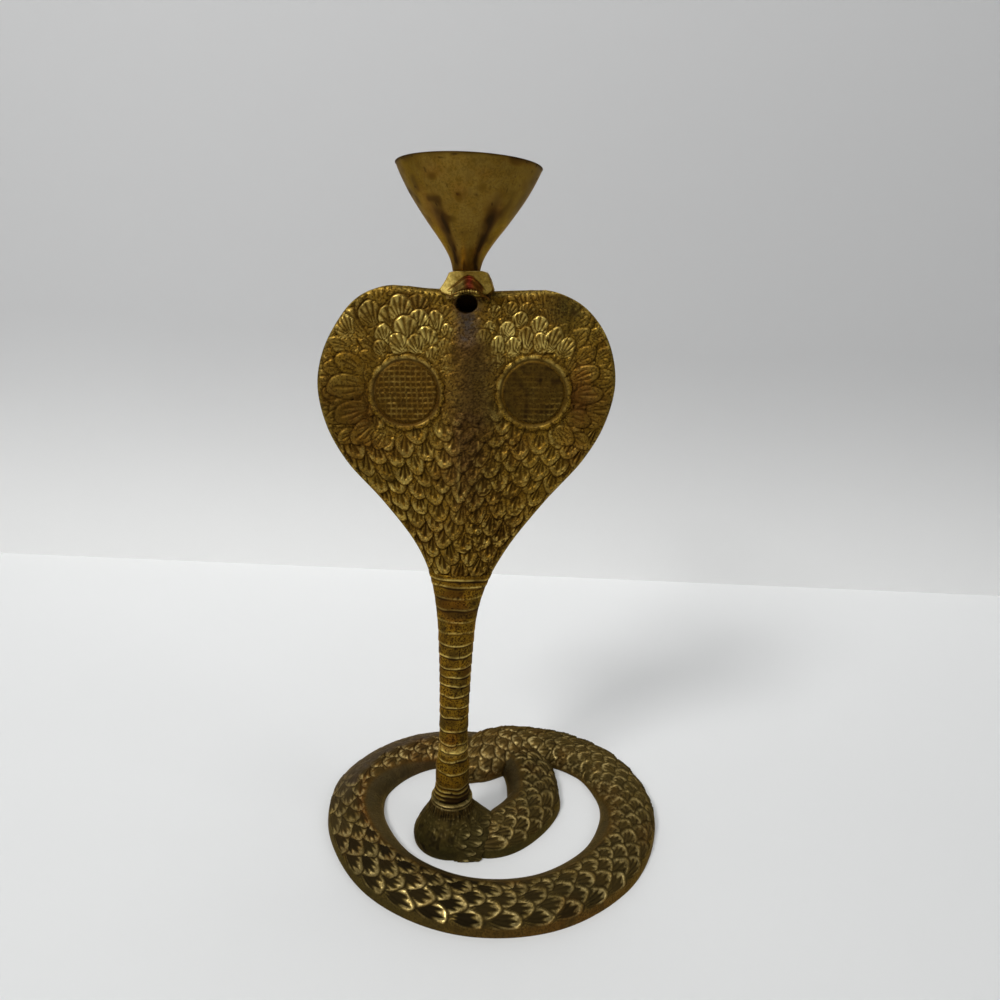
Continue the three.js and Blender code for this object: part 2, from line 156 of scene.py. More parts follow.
def grain(u, v, size, seed):
    """Smooth noise from -1 to 1 in lumps of about this size."""
    count = 256
    table = np.random.default_rng(seed).uniform(-1, 1, (count, count))
    x, y = np.broadcast_arrays(u / size, v / size)
    column, row = np.floor(x).astype(int), np.floor(y).astype(int)
    across, up = smooth(x - column, 0, 1), smooth(y - row, 0, 1)

    def at(right, above):
        return table[(column + right) % count, (row + above) % count]

    return lerp(lerp(at(0, 0), at(1, 0), across), lerp(at(0, 1), at(1, 1), across), up)


def patches(u, v, size, seed, low, high):
    """Soft-edged patches, 1 where the noise is above high and 0 where it is below low."""
    return smooth(grain(u, v, size, seed), low, high)


def cast_skin(u, v, seed):
    """The uneven skin of a hand-finished casting, from about -1 to 1."""
    fine = 0.35 * grain(u, v, 0.8, seed) + 0.25 * grain(u, v, 0.45, seed + 1)
    return fine + 0.4 * grain(u, v, 2.4, seed + 2)


# Curves

def catmull_rom(points, per_span):
    """A centripetal curve through the points: its places, and where each lies in spans."""
    points = np.asarray(points, float)
    first = 2 * points[0] - points[1]
    last = 2 * points[-1] - points[-2]
    whole = np.vstack([first, points, last])
    places, spans = [], []
    share = np.linspace(0, 1, per_span, endpoint=False)[:, None]
    for index in range(len(points) - 1):
        a, b, c, d = whole[index:index + 4]
        gaps = [max(np.linalg.norm(q - p) ** 0.5, 1e-4) for p, q in ((a, b), (b, c), (c, d))]
        leave = (b - a) / gaps[0] - (c - a) / (gaps[0] + gaps[1]) + (c - b) / gaps[1]
        arrive = (c - b) / gaps[1] - (d - b) / (gaps[1] + gaps[2]) + (d - c) / gaps[2]
        leave, arrive = leave * gaps[1], arrive * gaps[1]
        cubic = 2 * b - 2 * c + leave + arrive
        square = -3 * b + 3 * c - 2 * leave - arrive
        places.append(b + leave * share + square * share ** 2 + cubic * share ** 3)
        spans.append(index + share[:, 0])
    places.append(points[-1:])
    spans.append(np.array([len(points) - 1.0]))
    return np.vstack(places), np.concatenate(spans)


def coil_line():
    """The route's fine line: distance along it, place and turn angle."""
    polar = np.array(COIL_ROUTE, float)
    turn = np.radians(polar[:, 0])
    radius = TURN_RADIUS - polar[:, 1]
    knots = np.column_stack([radius * np.cos(turn), radius * np.sin(turn)])
    places, spans = catmull_rom(knots, per_span=60)
    steps = np.linalg.norm(np.diff(places, axis=0), axis=1)
    along = np.concatenate([[0], np.cumsum(steps)])
    angles = np.interp(spans, np.arange(len(polar)), polar[:, 0])
    return along, places, angles


LINE_ALONG, LINE_PLACES, LINE_ANGLES = coil_line()
LINE_LENGTH = LINE_ALONG[-1]
RING_CENTRE = STEM - LINE_PLACES[0]


def place_on_line(distance):
    return np.column_stack([np.interp(distance, LINE_ALONG, places) for places in LINE_PLACES.T])


def coil_stations(distance):
    """Centre, sideways direction, half width, height and turn angle of the strand."""
    run = place_on_line(distance + STATION_STEP) - place_on_line(distance - STATION_STEP)
    run /= np.linalg.norm(run, axis=1)[:, None]
    across = np.column_stack([-run[:, 1], run[:, 0]])
    angle = np.interp(distance, LINE_ALONG, LINE_ANGLES)
    tail = smooth(angle, TAIL_START, COIL_ROUTE[-1][0])
    climb = bell(angle, CROSSING_ANGLE, CROSSING_SPREAD)
    to_socket = bell(angle, COIL_ROUTE[0][0], SOCKET_SPREAD)
    half_width = lerp(STRAND_WIDTH, TAIL_WIDTH, tail) / 2 + CROSSING_SWELL * climb
    height = STRAND_HEIGHT + CROSSING_RISE * climb + SOCKET_RISE * to_socket
    return place_on_line(distance) + RING_CENTRE, across, half_width, height, angle


# How much wider than its waist the neck is at shares of its length
NECK = [
    (COLLAR_SWELL / 3, 0.08), (COLLAR_SWELL, 0.13), (COLLAR_SWELL, 0.18), (0, 0.24), (0.02, 0.4),
    (0.65, 0.65), (1.75, 0.81),
]
NECK_KNOTS = [
    (SPIGOT_RADIUS, SPIGOT_BOTTOM), (SPIGOT_RADIUS, SOCKET_HEIGHT),
    *((NECK_RADIUS + wider, SOCKET_HEIGHT + up * NECK_LENGTH) for wider, up in NECK),
    (0.185 * HOOD_HALF, HOOD_FOOT - 0.08 * NECK_LENGTH),
]
# The hood's half width and level as shares
HOOD = [
    (0.237, 0), (0.345, 0.105), (0.575, 0.265), (0.825, 0.42), (0.95, 0.545), (1, 0.68),
    (0.958, 0.795), (0.86, 0.888), (0.74, 0.952), (0.58, 0.989), (0.4, 1),
]
HOOD_KNOTS = [(share * HOOD_HALF, HOOD_FOOT + up * HOOD_HEIGHT) for share, up in HOOD]
OUTLINE, _ = catmull_rom(NECK_KNOTS + HOOD_KNOTS, per_span=40)


def half_width_at(level):
    return np.interp(level, OUTLINE[:, 1], OUTLINE[:, 0])


def half_thickness(x, half_width):
    flat = smooth(half_width, NECK_RADIUS + 1, 0.36 * HOOD_HALF)
    centre = lerp(np.minimum(half_width, NECK_RADIUS + COLLAR_SWELL), SPINE_DEPTH, flat)
    wing = lerp(centre, WING_THICKNESS / 2, flat)
    share = np.minimum(1, np.abs(x) / half_width)
    edge = np.sqrt(np.maximum(0, 1 - share ** lerp(2, 5, flat)))
    return edge * (wing + (centre - wing) * bell(x, 0, SPINE_WIDTH))


def sweep_at(x):
    return -WING_SWEEP * (x / HOOD_HALF) ** 2


def body_point(x, side, level, closing):
    """Points of neck or hood in the stem's own frame. side is -1 in front and 1 behind."""
    upper = smooth(level, HOOD_TOP - 0.16 * HOOD_HEIGHT, HOOD_TOP)
    lift = smooth(level, HOOD_FOOT, HOOD_FOOT + 0.4 * HOOD_HEIGHT)
    shift = HOOD_SHIFT * smooth(level, HOOD_FOOT - 0.2 * NECK_LENGTH, HOOD_FOOT + 0.1 * HOOD_HEIGHT)
    tilt = LOBE_RISE * lift * (1 - 0.8 * upper)
    dip = LOBE_DIP * np.maximum(0, 1 - (x / LOBE_OFFSET) ** 2) * upper
    half = half_thickness(x, half_width_at(level)) * closing
    return np.stack([x + shift, sweep_at(x) * lift + side * half, level - dip + x * tilt], axis=-1)


# Carved scales

# ink holds patina and, in places, painted shade; shine holds polish and painted highlights.
TINTS = ("ink", "shine", "rust", "green", "red", "ash")
SCALE_EDGE = 0.91
CREVICE_END = 1.17
# How dark the painted shadow is that a scale's tip casts on the scale below.
CREVICE_SHADOW_INK = 0.9
EDGE_INK = 0.85


class Relief:
    """Height in millimetres and the metal's tints over a surface with coordinates u and v."""

    def __init__(self, u, v):
        self.u, self.v = np.broadcast_arrays(u, v)
        self.height = np.zeros(self.u.shape)
        self.tint = {name: np.zeros(self.u.shape) for name in TINTS}
        self.warp = 1 + 0.1 * grain(self.u, self.v, 2.4, 5)
        self.wear = 0.72 + 0.4 * grain(self.u, self.v, 1.1, 6)

    def stamp(self, place, angle, length, width, style):
        """One scale over whatever lies below it. angle points to its tip, in radians."""
        reach = 0.6 * max(length, width)
        rows = np.nonzero((np.abs(self.v - place[1]) < reach).any(axis=1)
                          & (np.abs(self.u - place[0]) < reach).any(axis=1))[0]
        if len(rows) == 0:
            return
        block = slice(rows[0], rows[-1] + 1)
        du, dv = self.u[block] - place[0], self.v[block] - place[1]
        near = np.nonzero((np.abs(du) < reach) & (np.abs(dv) < reach))
        du, dv = du[near], dv[near]
        p = (du * math.cos(angle) + dv * math.sin(angle)) / (length / 2)
        q = (-du * math.sin(angle) + dv * math.cos(angle)) / (width / 2)
        r = np.hypot(p, q * (1 + style["point"] * p)) * self.warp[block][near]
        front = smooth(p, -0.5, 0.3)
        hinge = style["hinge"]
        spread = np.arctan2(q, p + hinge) / math.atan2(1, hinge)
        wave = 0.5 + 0.5 * np.cos(math.pi * style["strokes"] * spread + style["phase"])
        wave = wave ** style["sharp"]
        stroke = wave * fading(r, style["stroke_end"], style["stroke_end"] + 0.15)
        stroke *= smooth(p, -0.95, -0.55)
        inner_edge = style["inner"] + style["tooth"] * (wave - 0.5)
        inner = fading(r - inner_edge, -0.1, 0.05)
        outer_drop = smooth(r, 0.9, 1.0)
        crest = bell(r, 0.5 * (0.97 + style["inner"]), 0.6 * (1 - style["inner"])) * front
        height = style["lift"] * (0.5 + 0.5 * p) + style["dome"] * (1 - r ** 2)
        height += style["crest"] * crest - style["cut"] * stroke
        height -= style["hollow"] * inner + style["edge"] * outer_drop
        ink = np.maximum(style["hollow_ink"] * inner, style["stroke_ink"] * stroke)
        ink = np.maximum(ink, EDGE_INK * smooth(r, SCALE_EDGE, 1.0))
        # Polish and painted highlight: the rim behind the tip and the ridges between the strokes
        # are made bright.
        rim = front * smooth(r - inner_edge, -0.02, 0.12) * fading(r, 0.86, 0.96)
        shine = style["shine"] * rim + style["ridge"] * (1 - rim) * (1 - wave) * (1 - outer_drop)
        shine *= self.wear[block][near]
        # Painted shadow: just past the front edge the scale below gets a dark line with its shine
        # taken away, over a slight dip.
        inside = r < 1
        beyond = ~inside & (p > -0.35)
        crevice_and_shadow = fading(r, 1.0, CREVICE_END)[beyond]
        rows_in, columns_in = near[0] + rows[0], near[1]
        spot = (rows_in[inside], columns_in[inside])
        self.height[spot] = height[inside]
        self.tint["ink"][spot] = ink[inside]
        self.tint["shine"][spot] = shine[inside]
        spot = (rows_in[beyond], columns_in[beyond])
        self.height[spot] -= 0.6 * style["edge"] * crevice_and_shadow
        self.tint["ink"][spot] = np.maximum(self.tint["ink"][spot], CREVICE_SHADOW_INK * crevice_and_shadow)
        self.tint["shine"][spot] *= 1 - crevice_and_shadow

    def fade(self, weight):
        self.height *= weight
        for name in TINTS:
            self.tint[name] *= weight

    def darken(self, amount):
        self.tint["ink"] = np.maximum(self.tint["ink"], amount)
        self.tint["shine"] *= 1 - np.clip(amount, 0, 1)


def staggered(row, column, pitch):
    """Where a scale sits in rows that are each moved by half a pitch."""
    return (column + 0.5 * (row % 2)) * pitch


def varied(style, shine=1.0):
    """The same kind of scale, cut by hand a little differently each time."""
    own = dict(style, shine=style["shine"] * shine)
    own["strokes"] += jitter(0.9)
    own["phase"] = jitter(0.9)
    own["lift"] *= RANDOM.uniform(0.75, 1.2)
    own["stroke_end"] += RANDOM.uniform(-0.1, 0.07)
    own["stroke_ink"] *= RANDOM.uniform(0.75, 1.0)
    own["shine"] *= RANDOM.uniform(0.45, 1.0)
    return own


# Kinds of scale. Strokes are cut lines that fan out from the hinge, inner is the hollow's reach,
# and the rest are heights in millimetres or strengths of a tint.
SCALE_TRAITS = (
    "hinge", "strokes", "sharp", "stroke_end", "inner", "tooth", "lift", "dome", "crest", "cut",
    "edge", "hollow", "hollow_ink", "stroke_ink", "shine", "ridge", "point",
)
COIL_SCALE, HOOD_SCALE, FAN_SCALE, PETAL = (dict(zip(SCALE_TRAITS, traits)) for traits in (
    (1.2, 5.0, 1.3, 0.56, 0.6, 0.3, 0.6, 0.0, 0.26, 0.16, 0.36, 0.3, 0.8, 1.0, 1.0, 0.05, 0.12),
    (1, 4.4, 0.75, 0.46, 0.42, 0.3, 0.85, 0.12, 0.22, 0.52, 0.32, 0.12, 0.45, 1.0, 0.6, 0.2, 0.25),
    (1.1, 4.8, 1.2, 0.74, 0.66, 0.3, 0.3, 0.85, 0.2, 0.55, 0.42, 0.05, 0.2, 1.0, 1.0, 1.0, 0.1),
    (1.3, 4.0, 1.5, 0.52, 0.38, 0.3, 0.6, 0.35, 0.22, 0.38, 0.42, 0.1, 0.4, 0.95, 0.5, 0.25, 0.15),
))
BACK_SCALE = dict(HOOD_SCALE, cut=0, tooth=0, hollow=0, hollow_ink=0.15, stroke_ink=0.1, crest=0.2,
                  lift=0.9, dome=0.3)


# Meshes

def placed(name, data):
    """A new object in the scene."""
    made = bpy.data.objects.new(name, data)
    bpy.context.scene.collection.objects.link(made)
    return made


def full_turn(count):
    return np.linspace(0, 2 * math.pi, count, endpoint=False)


def around_stem(radius, level, turn):
    across = [STEM[0] + radius * np.cos(turn), STEM[1] + radius * np.sin(turn), level + 0 * turn]
    return np.stack(np.broadcast_arrays(*across), axis=-1)


def push_out(points, turn, amount):
    """Move points away from the stem."""
    points[:, :, 0] += amount * np.cos(turn)
    points[:, :, 1] += amount * np.sin(turn)


def grid_normals(points):
    normal = np.cross(np.gradient(points, axis=0), np.gradient(points, axis=1))
    return normal / np.maximum(np.linalg.norm(normal, axis=2, keepdims=True), 1e-9)


def ring_faces(rows, columns):
    """Four-sided faces between closed rings."""
    row = np.arange(rows - 1)[:, None]
    column = np.arange(columns)[None, :]
    after = (column + 1) % columns
    corners = [row * columns + column, row * columns + after,
               (row + 1) * columns + after, (row + 1) * columns + column]
    return np.stack(np.broadcast_arrays(*corners), axis=-1).reshape(-1, 4)


def tints(shape, **levels):
    """Every tint over a surface: those given, and none of the rest."""
    return {key: np.broadcast_to(levels.get(key, 0.0), shape) for key in TINTS}


def joined(first, second):
    """The tints of two sheets that lie side by side in the same rings."""
    return {key: np.concatenate([first[key], second[key]], axis=1) for key in TINTS}


def build_piece(name, vertices, faces, material, tint, caps=()):
    """A piece from points in millimetres. tint holds the numbers that its material reads."""
    mesh = bpy.data.meshes.new(name)
    vertices = np.asarray(vertices, np.float32).reshape(-1, 3)
    parts = [np.asarray(faces, np.int32).ravel()] + [np.asarray(cap, np.int32) for cap in caps]
    sizes = [4] * len(faces) + [len(cap) for cap in caps]
    loops = np.concatenate(parts)
    starts = np.concatenate([[0], np.cumsum(sizes)[:-1]]).astype(np.int32)
    mesh.vertices.add(len(vertices))
    mesh.vertices.foreach_set("co", (vertices * MM).ravel())
    mesh.loops.add(len(loops))
    mesh.loops.foreach_set("vertex_index", loops)
    mesh.polygons.add(len(sizes))
    mesh.polygons.foreach_set("loop_start", starts)
    mesh.update(calc_edges=True)
    mesh.validate()
    mesh.polygons.foreach_set("use_smooth", np.ones(len(mesh.polygons), bool))
    for key, numbers in tint.items():
        numbers = np.clip(np.asarray(numbers, np.float32).ravel(), 0, 1)
        mesh.attributes.new(key, "FLOAT", "POINT").data.foreach_set("value", numbers)
    mesh.materials.append(material)
    piece = placed(name, mesh)
    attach(piece, "root")
    return piece


def rings_piece(name, rings, material, tint):
    """A closed body through rings that all have the same count of points."""
    rows, columns = rings.shape[:2]
    caps = [np.arange(columns)[::-1], (rows - 1) * columns + np.arange(columns)]
    return build_piece(name, rings, ring_faces(rows, columns), material, tint, caps)


def endless_piece(name, points, material, tint, facing=1):
    """A body through closed rings, the last joined to the first. facing -1 turns its faces over."""
    rows, columns = points.shape[:2]
    faces = (ring_faces(rows + 1, columns) % (rows * columns))[:, ::facing]
    return build_piece(name, points, faces, material, tint)


# Materials

MIX_FIRST, MIX_SECOND, MIX_RESULT = 6, 7, 2


def node(tree, kind, inputs, output=0, **settings):
    """A new node with its settings and inputs. Gives one of its outputs."""
    made = tree.nodes.new("ShaderNode" + kind)
    for key, value in settings.items():
        setattr(made, key, value)
    for key, value in inputs.items():
        if isinstance(value, bpy.types.NodeSocket):
            tree.links.new(value, made.inputs[key])
        else:
            made.inputs[key].default_value = value
    return made.outputs[output]


def noise(tree, where, scale, detail=4.0, roughness=0.55):
    inputs = {"Vector": where, "Scale": scale, "Detail": detail, "Roughness": roughness}
    return node(tree, "TexNoise", inputs, "Fac")


def attribute(tree, name):
    return node(tree, "Attribute", {}, "Fac", attribute_name=name)


def spread_out(tree, value, low, high, to_low=0.0, to_high=1.0):
    spans = {"From Min": low, "From Max": high, "To Min": to_low, "To Max": to_high}
    inputs = {"Value": value, **spans}
    return node(tree, "MapRange", inputs, "Result", interpolation_type="SMOOTHSTEP")


def calculate(tree, operation, first, second, clamp=False):
    return node(tree, "Math", {0: first, 1: second}, operation=operation, use_clamp=clamp)


def blend_colour(tree, share, first, second):
    first, second = ((*end, 1.0) if isinstance(end, tuple) else end for end in (first, second))
    inputs = {"Factor": share, MIX_FIRST: first, MIX_SECOND: second}
    return node(tree, "Mix", inputs, MIX_RESULT, data_type="RGBA")


def new_material(name):
    """A new node material with its node tree, its shader and the object's coordinates."""
    material = bpy.data.materials.new(name)
    material.use_nodes = True
    tree = material.node_tree
    return material, tree, tree.nodes["Principled BSDF"], node(tree, "TexCoord", {}, "Object")


def add_bump(tree, shader, height, strength, distance=0.0004):
    inputs = {"Height": height, "Strength": strength, "Distance": distance}
    tree.links.new(node(tree, "Bump", inputs, "Normal"), shader.inputs["Normal"])


STAINS = {"rust": (0.19, 0.064, 0.006), "green": (0.062, 0.056, 0.014), "red": (0.38, 0.045, 0.022),
          "ash": (0.125, 0.100, 0.082)}


def brass(name, plain, warm, deep, bright, rough=0.42, grain_strength=0.14, dirt=0.6):
    """Aged brass: stains, polish and painted highlights on high places, patina and painted shade in
    recesses.
    """
    material, tree, shader, where = new_material(name)

    def times(first, second):
        return calculate(tree, "MULTIPLY", first, second)

    def most(first, second, clamp=False):
        return calculate(tree, "MAXIMUM", first, second, clamp)

    def clouded(scale, detail, roughness, *span):
        return spread_out(tree, noise(tree, where, scale, detail, roughness), *span)

    colour = blend_colour(tree, clouded(90, 5, 0.55, 0.36, 0.64), plain, warm)
    patchy = clouded(260, 4, 0.55, 0.25, 0.6, 0.55, 1.0)
    for stain, tone in STAINS.items():
        colour = blend_colour(tree, times(attribute(tree, stain), patchy), colour, tone)
    # The shine tint brings polish and painted highlights in the bright colour.
    polish_and_highlight = times(attribute(tree, "shine"), clouded(330, 4, 0.55, 0.35, 0.62, 0.3, 1.0))
    colour = blend_colour(tree, polish_and_highlight, colour, bright)
    specks = clouded(1500, 3, 0.6, 0.44, 0.60, 0.0, dirt)
    smudges = clouded(240, 5, 0.65, 0.47, 0.7, 0.0, dirt)
    kept = calculate(tree, "SUBTRACT", 1.0, times(polish_and_highlight, 0.85))
    dark = most(attribute(tree, "ink"), times(most(specks, smudges), kept), True)
    matt = most(attribute(tree, "red"), times(attribute(tree, "rust"), 0.6))
    matt = most(times(dark, 0.6), matt)
    roughness = calculate(tree, "ADD", times(dark, 0.3), rough)
    for socket, value in {
        "Base Color": blend_colour(tree, dark, colour, deep),
        "Metallic": calculate(tree, "SUBTRACT", 0.95, times(matt, 0.65), True),
        "Roughness": calculate(tree, "SUBTRACT", roughness, times(polish_and_highlight, 0.12), True),
    }.items():
        tree.links.new(value, shader.inputs[socket])
    shader.inputs["Specular IOR Level"].default_value = 0.25
    shader.inputs["Specular Tint"].default_value = (1.0, 0.74, 0.38, 1.0)
    add_bump(tree, shader, noise(tree, where, 800, 6, 0.65), grain_strength)
    return material


def steel(name, tone, rough):
    """Plated steel, faintly brushed round the upright axis."""
    material, tree, shader, where = new_material(name)
    stretched = node(tree, "Mapping", {"Vector": where, "Scale": (0.15, 0.15, 1)})
    brushed = noise(tree, stretched, 2600, 3)
    clouds = spread_out(tree, noise(tree, where, 500, 3), 0.35, 0.7)
    darker = tuple(0.6 * part for part in tone)
    tree.links.new(blend_colour(tree, clouds, tone, darker), shader.inputs["Base Color"])
    shader.inputs["Metallic"].default_value = 1.0
    uneven = spread_out(tree, brushed, 0.3, 0.7, rough, rough + 0.2)
    tree.links.new(uneven, shader.inputs["Roughness"])
    add_bump(tree, shader, brushed, 0.1, 0.0001)
    return material


def stage_material(name, low, high, rough, axis, start, end):
    """A pale matt surface whose tone changes gently along one axis."""
    material, tree, shader, where = new_material(name)
    rise = spread_out(tree, node(tree, "SeparateXYZ", {"Vector": where}, axis), start, end)
    clouds = spread_out(tree, noise(tree, where, 3, 3), 0.3, 0.7, 0.0, 0.06)
    share = calculate(tree, "ADD", rise, clouds, clamp=True)
    tree.links.new(blend_colour(tree, share, low, high), shader.inputs["Base Color"])
    shader.inputs["Roughness"].default_value = rough
    return material


CAST = brass("aged_brass", (0.114, 0.079, 0.021), (0.146, 0.094, 0.022),
             (0.008, 0.005, 0.0015), (0.72, 0.55, 0.22))
HOOD_BRASS = brass("hood_brass", (0.245, 0.134, 0.011), (0.280, 0.142, 0.011),
                   (0.020, 0.008, 0.001), (1.0, 0.75, 0.20), dirt=0.85)
HEAD_BRASS = brass("head_brass", (0.240, 0.138, 0.012), (0.260, 0.146, 0.012),
                   (0.020, 0.008, 0.001), (1.0, 0.74, 0.20), rough=0.33, dirt=0.4)
TURNED = brass("turned_brass", (0.136, 0.076, 0.008), (0.160, 0.088, 0.010),
               (0.025, 0.010, 0.001), (0.5, 0.36, 0.09), rough=0.3, grain_strength=0.05, dirt=0.3)
STEEL = steel("plated_steel", (0.55, 0.54, 0.51), 0.32)


# Coiled base

SECTION_OUTER = 60
SECTION_INNER = 16
SECTION_HOLLOW = 8
SECTION_POWER = 0.9
INNER_SLOPE = 1.25
BAND_LEVEL = (2.6, 3.8)
CREST_LEVEL = (19.0, 21.0)
ROW_GAP = 3.5
FIRST_ROW = 5.4
ROW_COUNT = 8
ROUTE_MARGIN = 20.0
SCALE_PITCH = 9.2
SCALE_LENGTH = 1.2
SCALE_WIDTH = 2.1 * ROW_GAP
SCALE_OVERLAP = 14
BEHIND_SOCKET, BEHIND_NECK, RIGHT_BACK = 300, 495, 555
LEFT_FRONT, FRONT, RIGHT_FRONT = 600, 655, 690
WORN_SIDE = (445, 475, 530, 562)
SCALE_DEPTH = 0.45
SIDE_INSET = 0.08
SOCKET_SIDES = 300
SOCKET_GIRTH = 12
SOCKET_STROKES = 44
SOCKET_ROWS = (2.6, 5.2, 7.8, 10.2)
SOCKET_COLUMNS = 4
SOCKET_SCALES_START = -15.0
SOCKET_SCALE_PITCH = 4.6
SOCKET_SCALE_LENGTH, SOCKET_SCALE_WIDTH = 6.4, 5.6
SOCKET_RUN = 45
SOCKET_BLEND = 5.5
LIP_RADIUS = 7.6
LIP_LEVEL = 18.5
BULB_INK = 0.6
BULB_GREEN = 0.45
FAR = 99.0


def over_crest(angle):
    """How much further down the inner side the scales reach, behind the neck and on the tail."""
    reach = 8.5 * smooth(angle, RIGHT_FRONT, RIGHT_FRONT + 50)
    return reach + 5.5 * bell(angle, BEHIND_NECK - 5, 30) - 2.5 * bell(angle, RIGHT_BACK + 5, 30)


def coil_scales():
    """Place, direction, length and style of each scale: long ones at the left front."""
    scales, there, index = [], -ROUTE_MARGIN, 0
    while there < LINE_LENGTH + ROUTE_MARGIN:
        angle = np.interp(there, LINE_ALONG, LINE_ANGLES)
        pitch = SCALE_PITCH + 1.4 * bell(angle, LEFT_FRONT, 45) - 2.4 * fading(angle, 290, 360)
        for row in range(index % 2, ROW_COUNT, 2):
            place = (there + jitter(0.5), FIRST_ROW + row * ROW_GAP + jitter(0.3))
            if place[1] > CREST_LEVEL[1] + 1.5 + over_crest(angle):
                continue
            own = varied(COIL_SCALE, 1.0 - 0.3 * smooth(angle, LEFT_FRONT + 60, RIGHT_FRONT + 20))
            darkness = 0.55 + 0.45 * bell(angle, LEFT_FRONT + 10, 60)
            own["hollow_ink"] = darkness + jitter(0.1)
            length = SCALE_LENGTH * pitch * RANDOM.uniform(0.93, 1.06)
            scales.append((place, jitter(0.16), length, own))
        there += pitch / 2
        index += 1
    return scales[::-1]


COIL_SCALES = coil_scales()


def carve_strand(relief, start, end, crest, angle):
    """Rows of scales with their tips towards the tail, a plain foot and a plain inner side."""
    for place, lean, length, own in COIL_SCALES:
        if start - SCALE_OVERLAP < place[0] < end + SCALE_OVERLAP:
            relief.stamp(place, lean, length, SCALE_WIDTH, own)
    u, v, tint = relief.u, relief.v, relief.tint
    past_crest = v - crest
    carved = smooth(v, *BAND_LEVEL) * fading(past_crest, *CREST_LEVEL)
    relief.fade(carved)
    worn = smooth(angle, *WORN_SIDE[:2]) * fading(angle, *WORN_SIDE[2:])
    worn = worn * fading(v + 1.5 * grain(u, v, 3.0, 35), 13, 16)
    rubbed = np.maximum(worn, bell(angle, BEHIND_NECK + 5, 45) * fading(v, 8, 12))
    rubbed = np.clip(rubbed, 0, 1)
    relief.height *= 1 - 0.85 * rubbed
    relief.height += 0.07 * cast_skin(u, v, 21) * lerp(0.6, 1.0, carved)
    front = bell(angle, FRONT, 45)
    foot = fading(v, 2.5, 4.5)
    inner_foot = smooth(past_crest, 20.5, 22)
    lit = bell(angle, CROSSING_ANGLE - 3, 45) + 0.6 * bell(angle, RIGHT_FRONT + 45, 30)
    tint["shine"] *= (1 - 0.96 * rubbed) * (1 + 0.5 * lit)
    tint["ink"] = lerp(tint["ink"], 0.44 + 0.2 * grain(u, v, 1.5, 36), 0.85 * rubbed)
    tint["ink"] += (1 - carved) * (0.4 + 0.16 * grain(u, v, 3.0, 31) + 0.14 * grain(u, v, 0.9, 37))
    tint["ink"] -= 0.2 * foot * front + 0.14 * lit
    tint["ash"] += 0.95 * rubbed * (1 - bell(v, 17, 2.5)) + 0.25 * inner_foot
    tint["green"] += 0.6 * foot * (1 - front) + 0.3 * inner_foot
    tint["rust"] += 0.7 * bell(v, 17, 1.6) * bell(angle, RIGHT_BACK, 30)
    tint["rust"] += 0.4 * bell(angle, BEHIND_NECK, 25) * smooth(v, 9, 12)
    last_scales = bell(past_crest, CREST_LEVEL[1] - 0.4, 1.2)
    tint["rust"] += 0.3 * last_scales * (0.7 + 0.3 * grain(u, v, 5, 32))
    reddish = patches(u, v, 7.0, 33, 0.1, 0.7) + bell(angle, CROSSING_ANGLE + 7, 35)
    tint["rust"] += 0.25 * carved * reddish
    tint["rust"] += 0.45 * foot * front
    relief.darken(0.35 * patches(u, v, 5.0, 34, 0.2, 0.8) * carved)


def socket_profile():
    """The socket's outer line as radius and level, from its foot up to its mouth."""
    shares = [(0.72, 0.45), (0.36, 0.7), (0.1, 0.88)]
    slope = [(lerp(SOCKET_LIP, SOCKET_FOOT, out), up * SOCKET_HEIGHT) for out, up in shares]
    return catmull_rom([
        (SOCKET_FOOT - 0.2, 0), (SOCKET_FOOT, 0.17 * SOCKET_HEIGHT), *slope,
        (lerp(SOCKET_LIP, SOCKET_FOOT, -0.05), SOCKET_HEIGHT + 0.6),
        (LIP_RADIUS, LIP_LEVEL - 1.4), (LIP_RADIUS - 0.1, LIP_LEVEL - 0.5),
        (LIP_RADIUS - 0.7, LIP_LEVEL), (LIP_RADIUS - 1.2, LIP_LEVEL),
    ], per_span=16)[0]


SOCKET_LINE = socket_profile()


def socket_distance(points):
    """How far points lie outside the socket, in millimetres; less than zero inside it."""
    radius = np.hypot(points[..., 0] - STEM[0], points[..., 1] - STEM[1])
    away = np.full(radius.shape, FAR)
    near = np.nonzero(radius < SOCKET_FOOT + 2 * SOCKET_BLEND)
    radius, level = radius[near], points[..., 2][near]
    gaps = np.hypot(radius[:, None] - SOCKET_LINE[:, 0], level[:, None] - SOCKET_LINE[:, 1])
    wall = np.interp(level, SOCKET_LINE[:, 1], SOCKET_LINE[:, 0])
    away[near] = gaps.min(axis=1) * np.where(radius < wall, -1, 1)
    return away


def strand_distance(points):
    """About how far points lie outside the strand where it leaves the socket."""
    stations = np.linspace(0, SOCKET_RUN, SOCKET_RUN + 1)
    centre, _, half_width, height, _ = coil_stations(stations)
    gaps = np.hypot(points[..., 0, None] - centre[:, 0], points[..., 1, None] - centre[:, 1])
    near = gaps.argmin(axis=-1)
    share = np.hypot(gaps.min(axis=-1) / half_width[near], points[..., 2] / height[near])
    return (share - 1) * height[near] + 9 * fading(near, 0, 6)


def swelling(away):
    """How far a surface bulges outwards to meet its neighbour in a soft hollow."""
    share = 1 - np.clip(away, -1, SOCKET_BLEND) / SOCKET_BLEND
    return SOCKET_BLEND / 2 * share ** 2 * smooth(away, -4, -1)


def bulb_ink(points):
    return BULB_INK + 0.22 * grain(points[:, :, 0], points[:, :, 1] + points[:, :, 2], 1.3, 44)


